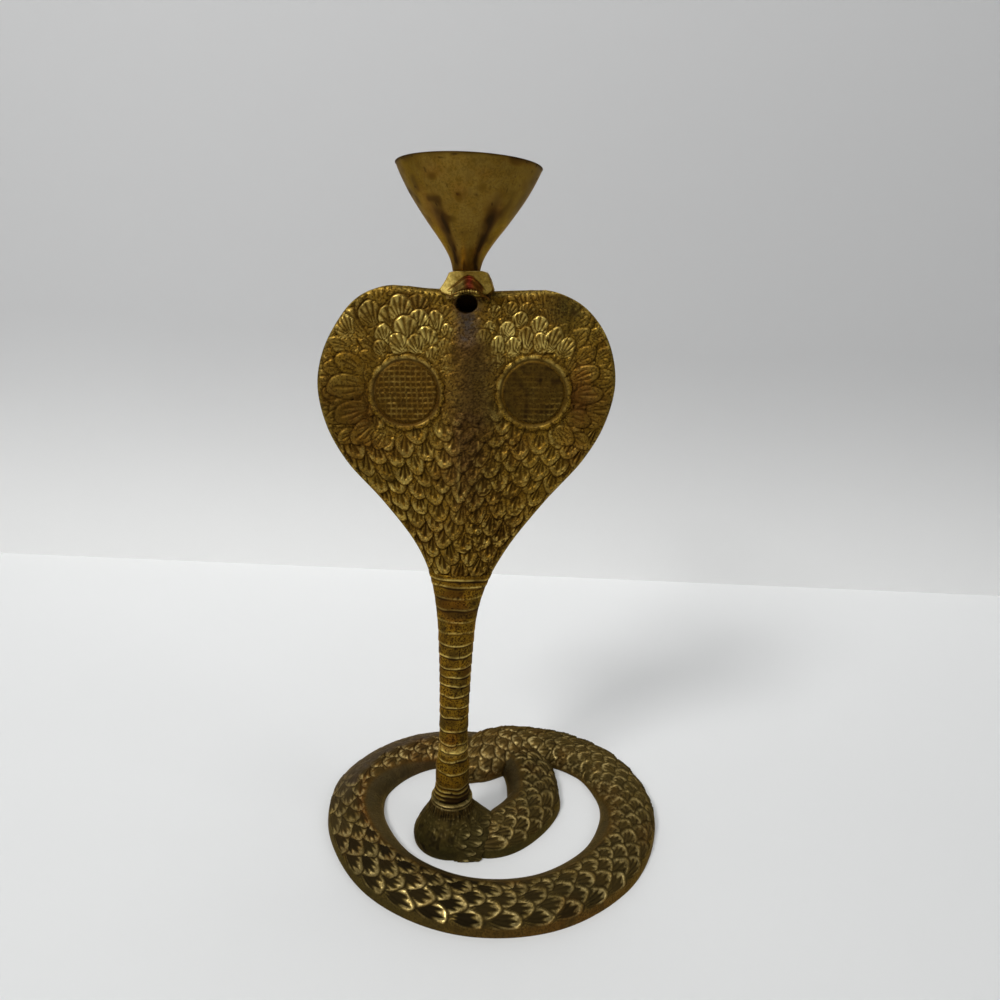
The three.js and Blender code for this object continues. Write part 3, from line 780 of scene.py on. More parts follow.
def strand_piece(name, start, end):
    distance = np.linspace(start, end, int((end - start) / STATION_STEP))
    centre, across, half_width, height, angle = coil_stations(distance)
    half_width = half_width - SIDE_INSET
    turn = np.concatenate([np.linspace(math.pi, INNER_SLOPE, SECTION_OUTER, endpoint=False),
                           np.linspace(INNER_SLOPE, 0, SECTION_INNER)])
    blunt = np.clip((LINE_LENGTH - distance) / half_width, 0.0005, 1)
    rounding = np.sqrt(1 - (1 - blunt) ** 2)

    def section(inset, turns):
        reach, crest = (np.maximum(size - inset, 1) * rounding for size in (half_width, height))
        side = reach[:, None] * np.cos(turns)
        level = crest[:, None] * np.sin(turns) ** SECTION_POWER
        flat = centre[:, None, :] + across[:, None, :] * side[:, :, None]
        return np.concatenate([flat, level[:, :, None]], axis=2)

    outer = section(0, turn)
    hollow = section(BASE_WALL, np.linspace(0, math.pi, SECTION_HOLLOW))
    arch = np.column_stack([STRAND_WIDTH / 2 * np.cos(turn),
                            STRAND_HEIGHT * np.sin(turn) ** SECTION_POWER])
    girth = np.concatenate([[0], np.cumsum(np.linalg.norm(np.diff(arch, axis=0), axis=1))])
    relief = Relief(distance[:, None], girth[None, :])
    crest = over_crest(angle)[:, None]
    carve_strand(relief, start, end, crest, angle[:, None])
    away = np.where(angle[:, None] < BEHIND_SOCKET, socket_distance(outer), FAR)
    joint = fading(away, 0.0, 4.0)
    relief.fade(1 - 0.75 * joint)
    relief.tint["ink"] += 0.7 * bulb_ink(outer) * joint
    relief.tint["green"] += BULB_GREEN * joint
    band = smooth(girth, 2.0, 4.2) * fading(girth - crest, CREST_LEVEL[0], CREST_LEVEL[1] + 1)
    push = (relief.height - SCALE_DEPTH) * band + 0.5 * relief.height * (1 - band) + swelling(away)
    outer = outer - grid_normals(outer) * push[:, :, None]
    outer[:, [0, -1], 2] = 0
    outer[:, :, 2] = np.maximum(outer[:, :, 2], 0)
    tint = joined(relief.tint, tints(hollow.shape[:2], ink=0.6))
    return rings_piece(name, np.concatenate([outer, hollow], axis=1), CAST, tint)


def lip_ridges(level, top):
    """Two raised rings below the socket's mouth."""
    return bell(level, LIP_LEVEL - top, 0.35) + 0.7 * bell(level, LIP_LEVEL - 1.9, 0.3)


def socket_piece():
    """The socket's bulb with its bore, passage and open underside, all round the stem."""
    spigot_bore, screw_bore = SPIGOT_RADIUS + SEAT_GAP, THREAD_RADIUS + SEAT_GAP
    line = np.vstack([SOCKET_LINE, [
        (NECK_RADIUS + SEAT_GAP, LIP_LEVEL - 0.3),
        (spigot_bore, SOCKET_HEIGHT), (spigot_bore, SOCKET_BORE),
        (screw_bore, SOCKET_BORE), (screw_bore, UNDER_FLOOR),
        (POCKET_RADIUS, UNDER_FLOOR), (POCKET_RADIUS, 0),
    ]])
    turn = full_turn(SOCKET_SIDES)[:, None]
    level = line[:, 1] + 0 * turn
    skin = np.arange(len(line)) < len(SOCKET_LINE)
    wavy = 2.0 * np.sin(3 * turn) + 1.5 * np.sin(7 * turn)
    strokes = 0.5 + 0.5 * np.cos(SOCKET_STROKES * turn + wavy)
    cut = strokes * bell(level, 14.2, 1.8) * skin
    girth = turn * SOCKET_GIRTH
    lumps = 0.8 * grain(girth, level, 2.4, 41) + 0.7 * grain(girth, level, 1.0, 42)
    inwards = 0.3 * cut + 0.2 * np.abs(lumps) * smooth(level, 0.5, 2) * (level < 16)
    points = around_stem(line[:, 0] + (0.3 * lip_ridges(level, 0.7) - inwards) * skin, level, turn)
    beside = strand_distance(points)
    push_out(points, turn, swelling(beside) * skin)
    around = SOCKET_GIRTH * (np.mod(turn + 1.5, 2 * math.pi) - 1.5)
    relief = Relief(around + 0 * level, level)
    for row, height in enumerate(SOCKET_ROWS):
        for column in range(SOCKET_COLUMNS):
            there = SOCKET_SCALES_START + staggered(row, column, SOCKET_SCALE_PITCH)
            place, lean = (there + jitter(0.4), height), jitter(0.2)
            own = varied(COIL_SCALE, 1.3)
            relief.stamp(place, lean, SOCKET_SCALE_LENGTH, SOCKET_SCALE_WIDTH, own)
    scaled = smooth(around, -17.5, -12.0) * fading(around, 0.0, 3.0)
    relief.fade(scaled * fading(level, 10.5, 12.5) * skin)
    push_out(points, turn, 0.8 * relief.height)
    lip = lip_ridges(level, 0.6) * skin
    joint = fading(beside, 0.5, 6.0)
    fleck = patches(girth, level, 0.8, 43, 0.45, 0.8) * smooth(level, 3, 7)
    shine = relief.tint["shine"]
    ink = 0.42 + 0.4 * cut + 0.45 * smooth(lumps, -0.2, 0.8) + 0.3 * bell(level, 2, 2)
    ink = lerp(ink * (1 - lip), bulb_ink(points), joint)
    tint = tints(level.shape, ink=np.maximum(ink * (1 - 1.2 * shine), 0.8 * relief.tint["ink"]),
                 shine=0.35 * lip + 0.3 * fleck * (1 - joint) + shine,
                 green=lerp(0.4 + 0.4 * fading(level, 3, 7), BULB_GREEN, joint),
                 rust=0.4 * bell(level, 15.5, 2.0))
    return endless_piece("socket_bulb", points, CAST, tint, -1)


# Neck

NECK_RIDGES = np.array([
    14.5, 18.9, 20.5, 22.1, 24.0, 30.3, 35.2, 38.9, 42.2, 47.6, 53.4, 57.5, 62.0, 66.4, 70.0, 73.6,
    78.1, 82.6, 87.2, 91.6, 96.1, 100.4, 104.6, 107.1, 110.1, 114.0])
NECK_ROWS = 460
NECK_SIDES = 130
SEAM_LEVEL = HOOD_FOOT - 0.7
COLLAR_FLARE = 1.2
UPPER_FLARE = 0.45


def neck_piece():
    level = np.linspace(SPIGOT_BOTTOM, SEAM_LEVEL, NECK_ROWS)[:, None]
    turn = full_turn(NECK_SIDES)[None, :]
    x = half_width_at(level) * np.cos(turn)
    rings = body_point(x, np.where(np.sin(turn) < 0, -1, 1), level + 0 * x, 1.0)
    rings[:, :, :2] += STEM
    around = turn * NECK_RADIUS
    wandering = level + 0.35 * grain(around, level, 3.0, 51)
    index = np.searchsorted(NECK_RIDGES, wandering, side="right") - 1
    index = np.clip(index, 0, len(NECK_RIDGES) - 2)
    above = wandering - NECK_RIDGES[index]
    gap = NECK_RIDGES[index + 1] - NECK_RIDGES[index]
    banded = smooth(level, NECK_RIDGES[1] - 0.4, NECK_RIDGES[1])
    faint = smooth(level, 84, 90) * fading(level, 103, 106)
    plate = 0.3 * (1 - above / gap) ** 0.7 * smooth(above, 0.0, 0.5) * (1 - 0.6 * faint)
    pits = patches(around, level, 1.3, 55, 0.62, 0.9)
    flare = COLLAR_FLARE * fading(level, LIP_LEVEL, 25.0) + UPPER_FLARE * fading(level, 25, 45)
    flare = flare * (level > LIP_LEVEL + 0.2)
    skin = 0.06 * cast_skin(around, level, 52)
    push_out(rings, turn, banded * plate + skin - 0.25 * pits + flare)
    # Painted shadow under each plate's overhanging lower edge (groove), and a painted highlight on
    # that edge just above it (shine).
    groove = np.maximum(bell(above, 0.0, 0.42), bell(above, gap, 0.3))
    clear = banded * (1 - 0.5 * faint)
    dark = patches(around, level, 4.0, 53, -0.1, 0.7)
    tint = tints(x.shape, ink=0.9 * clear * groove + 0.8 * pits + 0.6 * dark
                 + 0.4 * fading(level, 19, 26),
                 shine=0.75 * clear * bell(above, 0.75, 0.32) + 0.5 * bell(level, 40, 1.6),
                 rust=0.6 * patches(around, level, 6.0, 54, 0.25, 0.6),
                 green=0.5 * patches(around, level, 5.0, 56, 0.0, 0.6))
    return rings_piece("cobra_neck", rings, HOOD_BRASS, tint)


# Hood

# Fans above the marks: place from the centre line and below the lobes' top, direction of the
# tip in degrees, length, width, and how strong their polish and painted highlights are
FANS = [
    (-31.0, -8.1, 115, 6.4, 6.8, 0.25), (-39.0, -11.5, 128, 6.0, 6.1, 0.5),
    (-15.7, -4.5, 87, 4.7, 6.8, 0.25), (-25.3, -8.6, 115, 5.1, 6.8, 0.5),
    (-21.4, -6.2, 93, 6.2, 7.5, 0.55), (-10.2, -9.9, 98, 6.8, 5.6, 0.5),
    (-15.6, -9.5, 87, 5.8, 6.4, 1.0), (-26.7, -14.2, 103, 5.4, 5.4, 0.9),
    (-19.8, -12.1, 99, 6.4, 7.2, 1.0), (-13.1, -14.9, 100, 5.7, 6.4, 0.8),
    (-6.6, -13.6, 96, 5.0, 3.6, 0.35), (-7.0, -18.6, 92, 5.2, 4.8, 0.4),
    (-21.8, -17.0, 124, 5.9, 5.6, 0.9), (-16.4, -17.3, 108, 5.2, 5.6, 0.8),
    (-11.2, -20.5, 80, 4.4, 4.2, 0.4), (-6.3, -23.4, 88, 4.8, 4.0, 0.35),
    (-27.6, -18.6, 120, 4.6, 4.6, 0.3), (8.2, -6.7, 72, 5.0, 4.6, 0.3),
    (13.2, -5.6, 70, 4.6, 4.6, 0.25), (18.6, -6.0, 65, 4.6, 4.6, 0.25),
    (16.4, -9.4, 78, 4.6, 4.8, 0.75), (22.4, -11.4, 80, 5.4, 5.8, 0.8),
    (6.9, -11.8, 90, 3.2, 3.2, 0.9), (12.4, -13.0, 68, 5.4, 5.2, 1.0),
    (5.0, -14.9, 92, 4.2, 4.4, 0.75), (18.4, -15.6, 88, 6.8, 5.2, 0.7),
    (27.2, -15.8, 68, 7.0, 5.8, 0.6), (23.3, -16.8, 103, 5.8, 4.6, 0.95),
    (9.7, -18.2, 86, 6.4, 4.4, 1.0), (14.6, -18.2, 90, 5.0, 4.8, 0.9),
    (31.4, -18.2, 55, 6.0, 5.2, 0.45), (5.6, -19.4, 88, 4.0, 3.6, 0.4),
    (10.0, -22.6, 80, 4.0, 3.8, 0.5),
]
# Petals beside the marks, given in the same way
PETALS = [
    (-40.4, -17.7, 165, 7.0, 5.4, 0.7), (-42.6, -25.0, 170, 6.0, 5.0, 0.6),
    (-31.5, -22.4, 145, 6.0, 6.0, 0.3), (-37.4, -24.0, 150, 8.5, 7.0, 0.4),
    (-43.4, -33.0, 185, 5.6, 5.0, 0.5), (-42.0, -41.0, 195, 6.0, 5.4, 0.6),
    (-38.6, -31.2, 178, 11.5, 8.6, 0.5), (-37.2, -39.6, 195, 9.8, 8.0, 0.35),
    (-38.4, -47.4, 210, 6.4, 5.6, 0.5), (-33.4, -46.4, 222, 8.6, 7.2, 0.35),
    (-27.5, -48.4, 245, 6.4, 6.2, 0.5), (35.6, -9.6, 45, 6.4, 5.2, 0.5),
    (41.4, -14.6, 35, 6.2, 5.2, 0.6), (35.4, -15.4, 48, 6.4, 5.2, 0.45),
    (43.6, -21.0, 25, 6.0, 5.0, 0.6), (38.0, -21.0, 35, 6.6, 5.6, 0.45),
    (44.0, -27.8, 8, 6.0, 5.0, 0.5), (37.6, -27.6, 22, 8.6, 7.0, 0.5),
    (43.4, -35.0, -5, 6.4, 5.2, 0.7), (39.4, -33.6, 0, 8.2, 6.2, 0.5),
    (41.6, -42.0, -22, 6.4, 5.2, 0.7), (36.6, -41.4, -20, 7.6, 6.0, 0.45),
    (38.0, -48.6, -35, 6.8, 5.4, 0.6), (32.6, -47.0, -42, 7.0, 6.0, 0.45),
]
# Small leaves between the marks: place and direction in degrees
LEAVES = [
    (-5.6, -29.5, 70), (-4.6, -35.2, -40), (-5.8, -41.0, -100),
    (5.2, -27.0, 100), (6.6, -43.5, -70),
]
LEAF_LENGTH, LEAF_WIDTH = 5.4, 4.2
HOOD_ROWS = 262
HOOD_FRONT = 262
HOOD_BACK = 96
HOOD_DEPTH = 0.5
TOP_ROUNDING = 1.6
TOP_ROWS = 16
HOLE_DEPTH = 7.2
HOLE_PLACE = -0.6
HOLE_ACROSS, HOLE_UP = 3.4, 2.9
MARK_PRESS = 1.4
DOWN = -math.pi / 2
# Stains: tint, strength, place from the centre line and below the lobes' top, and reach both ways
HOOD_STAINS = [
    ("rust", 0.7, -34, -40.2, 7, 8), ("rust", 1.0, 37, -36.2, 4, 8), ("rust", 0.5, 0, -51.2, 6, 12),
    ("green", 0.8, 31, -6, 7, 7), ("green", 0.5, -38, -4, 6, 5),
]


def from_marks(x, level):
    """Distance to the centre of the nearest mark."""
    return np.minimum(*(np.hypot(x - place, level - MARK_LEVEL) for place in MARK_PLACES.values()))


def off_hood(x, level):
    return level > HOOD_TOP - 1 or abs(x) > half_width_at(level)


def carve_lower_hood(relief):
    """Rows of scales that hang below the marks and lean towards the centre line."""
    row_gap, pitch = 4.8, 6.4
    for row in range(-1, 15):
        drift = jitter(1.0)
        for column in range(-9, 10):
            x = staggered(row, column, pitch) + drift
            level = HOOD_FOOT + 1.6 + row * row_gap + 0.27 * abs(x)
            if level > MARK_LEVEL - 3 or abs(x) > half_width_at(level) - 0.5:
                continue
            beside = abs(x) > 33 and level > MARK_LEVEL - 15
            if beside or from_marks(x, level) <= MARK_RADIUS + 0.3:
                continue
            own = varied(HOOD_SCALE, 1.0 if x < 2 else 0.8)
            angle = DOWN - 0.45 * x / HOOD_HALF + jitter(0.2)
            place = (x + jitter(0.7), level + jitter(0.7))
            relief.stamp(place, angle, RANDOM.uniform(8.6, 10.2), RANDOM.uniform(6.4, 7.8), own)


def carve_upper_ground(relief):
    """Dull petals between the fans, turned away from the nearest mark."""
    row_gap, pitch = 5.2, 6.4
    for row in range(14):
        for column in range(-9, 10):
            x = staggered(row, column, pitch) + jitter(0.8)
            level = MARK_LEVEL - 15 + row * row_gap + jitter(0.7)
            if off_hood(x, level) or from_marks(x, level) <= MARK_RADIUS - 1.5:
                continue
            mark = min(MARK_PLACES.values(), key=lambda place: abs(x - place))
            angle = math.atan2(level - MARK_LEVEL + 3, x - mark) + jitter(0.3)
            size = RANDOM.uniform(0.85, 1.15)
            relief.stamp((x, level), angle, 10.0 * size, 7.4 * size, varied(PETAL, 0.6))


def carve_hood_scales(relief):
    carve_upper_ground(relief)
    carve_lower_hood(relief)
    for x, below, angle, length, width, shine in PETALS:
        own = varied(PETAL, 1.1 * shine)
        relief.stamp((x, HOOD_TOP + below), math.radians(angle), 1.15 * length, width, own)
    for x, below, angle in LEAVES:
        place = (x, HOOD_TOP + below)
        relief.stamp(place, math.radians(angle), LEAF_LENGTH, LEAF_WIDTH, varied(PETAL, 0.3))
    for x, below, angle, length, width, shine in FANS:
        own = varied(FAN_SCALE, 2.6 * shine)
        own["ridge"] *= 1.7 * shine
        place = (x, HOOD_TOP + below - 0.12 * length)
        relief.stamp(place, math.radians(angle), 1.3 * length, 1.08 * width, own)


def carve_hood_front(relief):
    """The scales, then the groove under the throat, the rough strip between the marks and wear."""
    carve_hood_scales(relief)
    x, level, tint = relief.u, relief.v, relief.tint
    from_top, from_mark = level - HOOD_TOP, level - MARK_LEVEL
    groove = bell(x, 0, 3.4) * smooth(from_top, -20, -15)
    middle = bell(x, 1.2, 7.0) * smooth(from_mark, -50, -14) * fading(from_mark, 14, 19)
    upper_right = bell(x, 31, 7) * bell(from_top, -6, 7)
    crumbs = np.abs(grain(x, level, 0.75, 61)) + 0.5 * np.abs(grain(x, level, 0.42, 62))
    upper_middle = middle * smooth(from_mark, -14, 0)
    relief.fade(1 - np.clip(groove + 0.75 * upper_middle, 0, 1))
    relief.fade(1 - 0.8 * upper_right)
    sides = smooth(np.abs(x - 1.3), 30, 34) * bell(from_mark, -4, 15)
    pits = smooth(grain(x, level, 0.95, 66) + 0.6 * grain(x, level, 0.5, 67), 0.12, 0.4)
    pits = pits * smooth(x, -7, 2) * fading(x, 14, 30) * fading(from_mark, -16, -8)
    ridge = bell(x, -1.6, 0.5) * bell(from_top, -62, 16)
    relief.height += 0.4 * crumbs * np.clip(middle + 0.7 * upper_right, 0, 1)
    relief.height += 0.05 * cast_skin(x, level, 63) - 0.5 * groove - 0.2 * pits + 0.35 * ridge
    rough = np.clip(1.2 * middle + 0.6 * upper_right, 0, 1)
    relief.darken(0.95 * smooth(1 - crumbs, 0.4, 0.8) * rough)
    relief.darken(0.3 * groove * (1 + 0.9 * grain(x, level, 0.5, 69))
                  + 0.4 * bell(x, 0, 8) * bell(from_top, -6, 4))
    tint["ink"] = np.maximum(tint["ink"], 0.72 * sides * (1 - np.clip(1.2 * tint["shine"], 0, 1)))
    clouds = patches(x, level, 6.0, 64, 0.1, 0.8)
    for shade in (0.85 * pits, 0.58 * middle, 0.5 * sides, 0.45 * clouds):
        relief.darken(shade)
    for place in MARK_PLACES.values():
        relief.darken(0.6 * bell(np.hypot(x - place, from_mark), MARK_RADIUS + 0.6, 0.6))
    tint["shine"] += 0.25 * ridge
    for key, strength, aside, below, wide, tall in HOOD_STAINS:
        tint[key] += strength * bell(x, aside, wide) * bell(from_top, below, tall)
    tint["rust"] += 0.35 * patches(x, level, 9.0, 65, 0.1, 0.7)
    tint["ash"] += groove * (0.85 + 0.5 * grain(x, level, 0.6, 68)) + 0.25 * middle
    tint["green"] += 0.4 * fading(np.abs(from_mark), 9, 13) * bell(x, 8, 5)


def carve_hood_back(relief):
    """The hidden back: plain rows of scales along the whole hood."""
    row_gap, pitch, length, width = 5.6, 8.4, 11.0, 8.8
    for row in range(0, 18):
        for column in range(-8, 9):
            x = staggered(row, column, pitch)
            level = HOOD_FOOT + row * row_gap + 0.2 * abs(x)
            if off_hood(x, level):
                continue
            angle = DOWN + jitter(0.1)
            relief.stamp((x, level), angle, length, width, varied(BACK_SCALE, 0.9))
    relief.height += 0.05 * cast_skin(relief.u, relief.v, 71)
    relief.tint["rust"] += 0.4 * patches(relief.u, relief.v, 9.0, 72, 0.1, 0.7)
    relief.darken(0.4 * patches(relief.u, relief.v, 6.0, 73, 0.1, 0.8))


def hood_piece():
    top_edge = 1 - np.sin(np.linspace(0, math.pi / 2, TOP_ROWS)[1:])
    level = np.concatenate([np.linspace(SEAM_LEVEL, HOOD_TOP - TOP_ROUNDING, HOOD_ROWS),
                            HOOD_TOP - TOP_ROUNDING * top_edge])[:, None]
    from_top = np.minimum((HOOD_TOP - level) / WING_THICKNESS, 1)
    closing = np.sqrt(np.maximum(0.002, 1 - (1 - from_top) ** 2))
    half_width = half_width_at(level)
    front_share = np.linspace(-1, 1, HOOD_FRONT)[None, :]
    front_share = front_share * (1.35 - 0.35 * front_share ** 2)
    back_share = np.linspace(1, -1, HOOD_BACK + 2)[1:-1][None, :]
    back_share = back_share * (1.5 - 0.5 * back_share ** 2)
    front, back = (body_point(half_width * share, side, level + 0 * share, closing)
                   for share, side in ((front_share, -1), (back_share, 1)))
    upper_edge = fading(level, HOOD_TOP - 2.6, HOOD_TOP - 0.8)

    relief = Relief(half_width * front_share, level)
    carve_hood_front(relief)
    edge = smooth(half_width * (1 - np.abs(front_share)), 0.3, 1.5) * upper_edge
    relief.height -= HOOD_DEPTH
    relief.fade(edge)
    relief.tint["green"] += 0.5 * (1 - edge)
    relief.tint["shine"] += 0.15 * (1 - edge)
    pressed = fading(from_marks(relief.u, relief.v), MARK_RADIUS - 1.3, MARK_RADIUS - 0.5)
    front[:, :, 1] += MARK_PRESS * pressed - relief.height
    throat = np.hypot((relief.u - HOLE_PLACE) / HOLE_ACROSS,
                      (front[:, :, 2] - THROAT_LEVEL + 0.1) / HOLE_UP)
    hole = fading(throat, 0.88, 1.04)
    front[:, :, 1] += HOLE_DEPTH * hole
    # Painted shade: the throat's pit is painted black.
    relief.tint["ink"] = np.maximum(relief.tint["ink"], hole)
    relief.tint["rust"] += 0.6 * bell(throat, 1.15, 0.2) * (relief.u < 0)

    behind = Relief(half_width * back_share, level)
    carve_hood_back(behind)
    behind.height -= HOOD_DEPTH
    behind.fade(fading(np.abs(back_share), 0.9, 0.97) * upper_edge)
    back[:, :, 1] += behind.height
    rings = np.concatenate([front, back], axis=1)
    rings[:, :, :2] += STEM
    return rings_piece("cobra_hood", rings, HOOD_BRASS, joined(relief.tint, behind.tint))


# Round marks

MARK_SIDES = 330
MARK_RINGS = 84
MARK_LOBES = 14
MARK_COVE = 0.5 * (MARK_DISC + MARK_RADIUS - 0.9)
HATCH_PITCH = 1.72
HATCH_LEAN = 0.06


def mark_piece(name, place, worn):
    """A round mark: a scalloped raised rim, a cove and a disc with crossing cut lines."""
    turn = full_turn(MARK_SIDES)[:, None]
    radius = np.linspace(0.02, 1, MARK_RINGS)[None, :] * (MARK_RADIUS + 0 * turn)
    lobe = np.abs(np.sin(0.5 * MARK_LOBES * turn + 0.6 * np.sin(2 * turn + place))) ** 0.7
    radius = radius * (1 + (0.9 * lobe - 0.35) / MARK_RADIUS * smooth(radius, 10.0, MARK_RADIUS))
    u, v = radius * np.cos(turn), radius * np.sin(turn)
    upright = np.cos(math.pi * (u + HATCH_LEAN * v + 0.12 * np.sin(v / 2)) / HATCH_PITCH)
    level = np.cos(math.pi * (v - HATCH_LEAN * u + 0.15 * np.sin(u / 3)) / HATCH_PITCH)
    broken = 0.7 + 0.3 * grain(u, v, 0.9, 81)
    if worn:
        broken = broken * (0.25 + 0.75 * smooth(v - 0.6 * u, -2, -9) + 0.35 * bell(radius, 1, 2.5))
    hatch = np.maximum((0.8 - 0.2 * worn) * np.abs(upright) ** 5, np.abs(level) ** 5) * broken
    notch = (1 - lobe) ** 2 * smooth(radius, 10.6, 11.4)
    rim = bell(radius, MARK_RADIUS - 0.8, 0.8) * (1 - 0.6 * notch)
    rim = rim * (0.8 + 0.3 * grain(u, v, 2.5, 84))
    cove = bell(radius, MARK_COVE, 0.7)
    disc = fading(radius, MARK_DISC - 0.5, MARK_DISC + 0.1)
    dome = 0.35 * (1 - (radius / MARK_DISC) ** 2)
    height = 0.62 * rim - 0.75 * cove + disc * (dome + 0.26 * hatch)
    height += 0.1 * bell(radius, MARK_DISC - 0.35, 0.35)
    height += 0.06 * cast_skin(u + place, v, 82) * (1 + 2.0 * worn * disc)
    x = place + u
    spine = (SPINE_DEPTH - WING_THICKNESS / 2) * bell(x, 0, SPINE_WIDTH)
    ground = STEM[1] + sweep_at(x) - WING_THICKNESS / 2 - 0.8 * spine - MARK_STAND
    across = STEM[0] + HOOD_SHIFT + x
    up = MARK_LEVEL + place * LOBE_RISE + v
    front = np.stack([across, ground - height, up], axis=-1)
    back = np.stack([across, ground + MARK_ROOT, up], axis=-1)[:, ::-1]
    ink = 0.7 * cove + disc * (0.8 - 0.1 * worn - 0.56 * hatch) + 0.9 * notch
    # Painted highlight on the rim, stronger towards its upper left.
    gleam = 0.22 + 0.42 * smooth(v - 0.4 * u, -2, 9)
    tint = tints(u.shape, ink=ink + 0.3 * worn * disc * patches(u, v, 2.0, 83, 0, 1),
                 shine=rim * gleam + disc * hatch * (0.24 - 0.14 * worn), green=0.5 * worn * disc,
                 rust=cove * (0.5 - 0.3 * worn) + (0.35 - 0.15 * worn) * disc
                 + 0.3 * rim * (1 - worn))
    tint = joined(tint, tints(back.shape[:2], ink=0.4))
    return endless_piece(name, np.concatenate([front, back], axis=1), HOOD_BRASS, tint)


# Head

HEAD_VOXEL = 0.16
SOFTENING_ROUNDS = 6
CHEEK_SKEW = 0.07
MOUTH_ARCH = np.array([(-0.76, 0), (-0.52, 0.27), (-0.12, 0.66), (0.01, 0.71), (0.15, 0.67),
                       (0.46, 0.36), (0.68, 0)])
MOUTH_BACK = -5.6
JAW_GAP_BACK = -5.9
THROAT_BACK = 3.4
MOUTH_HALF = 7
BAR_SIDES = 48
IN_FRONT = -HEAD_LENGTH - 1
ABOVE = HEAD_TOP + 3


def head_section(y, scale, underside):
    """The head's outline across the snout, as in the solids."""
    core = HEAD_TOP - 0.55 * HEAD_HEIGHT
    half = np.array([
        (0, 0), (0.72 * HEAD_HALF, 0), (HEAD_HALF, 0.08), (lerp(HEAD_HALF, CHEEK_HALF, 0.4), 0.4),
        (lerp(HEAD_HALF, CHEEK_HALF, 0.7), 0.64), (CHEEK_HALF, 0.86), (0.94 * CHEEK_HALF, 1),
        (0.8 * CHEEK_HALF, underside), (0.5 * CHEEK_HALF, underside + 0.12),
    ])
    across = np.concatenate([half[:, 0], [0], -half[:0:-1, 0]])
    drop = np.concatenate([half[:, 1], [underside + 0.15], half[:0:-1, 1]])
    across = across * (1 - CHEEK_SKEW * np.sign(across) * smooth(drop, 0.4, 0.86))
    level = HEAD_TOP - drop * HEAD_HEIGHT
    slant = 1 - JAW_SLANT * drop * (y < 0)
    return np.column_stack([across * scale + HOOD_SHIFT, y * slant,
                            core + (level - core) * scale + across * LOBE_RISE])


def mouth_section(y, scale, drop=0.0):
    level = MOUTH_FLOOR - 0.02 + MOUTH_ARCH[:, 1] * HEAD_HEIGHT * scale
    level[[0, -1]] -= drop
    across = MOUTH_ARCH[:, 0] * CHEEK_HALF * scale + HOOD_SHIFT
    return np.column_stack([across, y + 0 * level, level])


def lofted(name, sections):
    """A plain closed mesh through sections with the same count of points."""
    rings = np.array(sections)
    rings[:, :, :2] += STEM
    rows, columns = rings.shape[:2]
    faces = [tuple(face) for face in ring_faces(rows, columns)]
    faces += [tuple(range(columns))[::-1], tuple(range((rows - 1) * columns, rows * columns))]
    mesh = bpy.data.meshes.new(name)
    mesh.from_pydata([Vector(point) * MM for point in rings.reshape(-1, 3)], [], faces)
    form = bmesh.new()
    form.from_mesh(mesh)
    bmesh.ops.recalc_face_normals(form, faces=form.faces)
    form.to_mesh(mesh)
    form.free()
    return mesh


def round_bar(name, radius, low, high, forward=False, centre=(0, 0)):
    """A bar that stands up, or one that runs from back to front at a place across the head."""
    turn = full_turn(BAR_SIDES)
    first, second = centre[0] + radius * np.cos(turn), centre[1] + radius * np.sin(turn)
    ends = []
    for end in (low, high):
        along = end + 0 * turn
        ends.append(np.column_stack([first, along, second] if forward else [first, second, along]))
    return lofted(name, ends)


def carved_from(block, cutters):
    """The block less the cutters, as one fine mesh with softened corners."""
    body, *others = things = [placed(mesh.name, mesh) for mesh in (block, *cutters)]
    for cutter in others:
        cut = body.modifiers.new("cut", "BOOLEAN")
        cut.operation = "DIFFERENCE"
        cut.object = cutter
    remesh = body.modifiers.new("remesh", "REMESH")
    remesh.mode = "VOXEL"
    remesh.voxel_size = HEAD_VOXEL * MM
    soften = body.modifiers.new("soften", "SMOOTH")
    soften.factor = 0.5
    soften.iterations = SOFTENING_ROUNDS
    graph = bpy.context.evaluated_depsgraph_get()
    fine = bpy.data.meshes.new_from_object(body.evaluated_get(graph))
    for thing in things:
        bpy.data.objects.remove(thing)
    points, normals = (np.empty(3 * len(fine.vertices), np.float32) for _ in range(2))
    fine.vertices.foreach_get("co", points)
    fine.vertices.foreach_get("normal", normals)
    faces = np.array([tuple(face.vertices) for face in fine.polygons])
    return points.reshape(-1, 3).astype(float) / MM, normals.reshape(-1, 3).astype(float), faces


def head_mesh():
    """The skull less its mouth, the gap under the jaw, the throat, the stud's hole and the seat."""
    skull = [(HEAD_BACK, 0.5), (0.88 * HEAD_BACK, 0.8), (0.68 * HEAD_BACK, 1),
             (-0.5 * HEAD_LENGTH, 1)]
    snout = [(-0.62 * HEAD_LENGTH, 1), (-0.88 * HEAD_LENGTH, 0.98), (-HEAD_LENGTH, 0.93)]
    throat_place = (HOOD_SHIFT + HOLE_PLACE, THROAT_LEVEL)
    return carved_from(
        lofted("head_block", [head_section(*step, SKULL_UNDERSIDE) for step in skull]
               + [head_section(*step, JAW_UNDERSIDE) for step in snout]),
        [lofted("mouth", [mouth_section(IN_FRONT, 1.12), mouth_section(-0.6 * HEAD_LENGTH, 1.0),
                          mouth_section(MOUTH_BACK, 0.42)]),
         lofted("jaw_gap", [mouth_section(IN_FRONT, 1.1, 3), mouth_section(JAW_GAP_BACK, 0.96, 3)]),
         round_bar("throat", THROAT_RADIUS, IN_FRONT, THROAT_BACK, True, throat_place),
         round_bar("stud_hole", THREAD_RADIUS + SEAT_GAP, HEAD_TOP - STUD_DEPTH, ABOVE),
         round_bar("cup_seat", CUP_FOOT_RADIUS + SEAT_GAP, HEAD_TOP, ABOVE)])


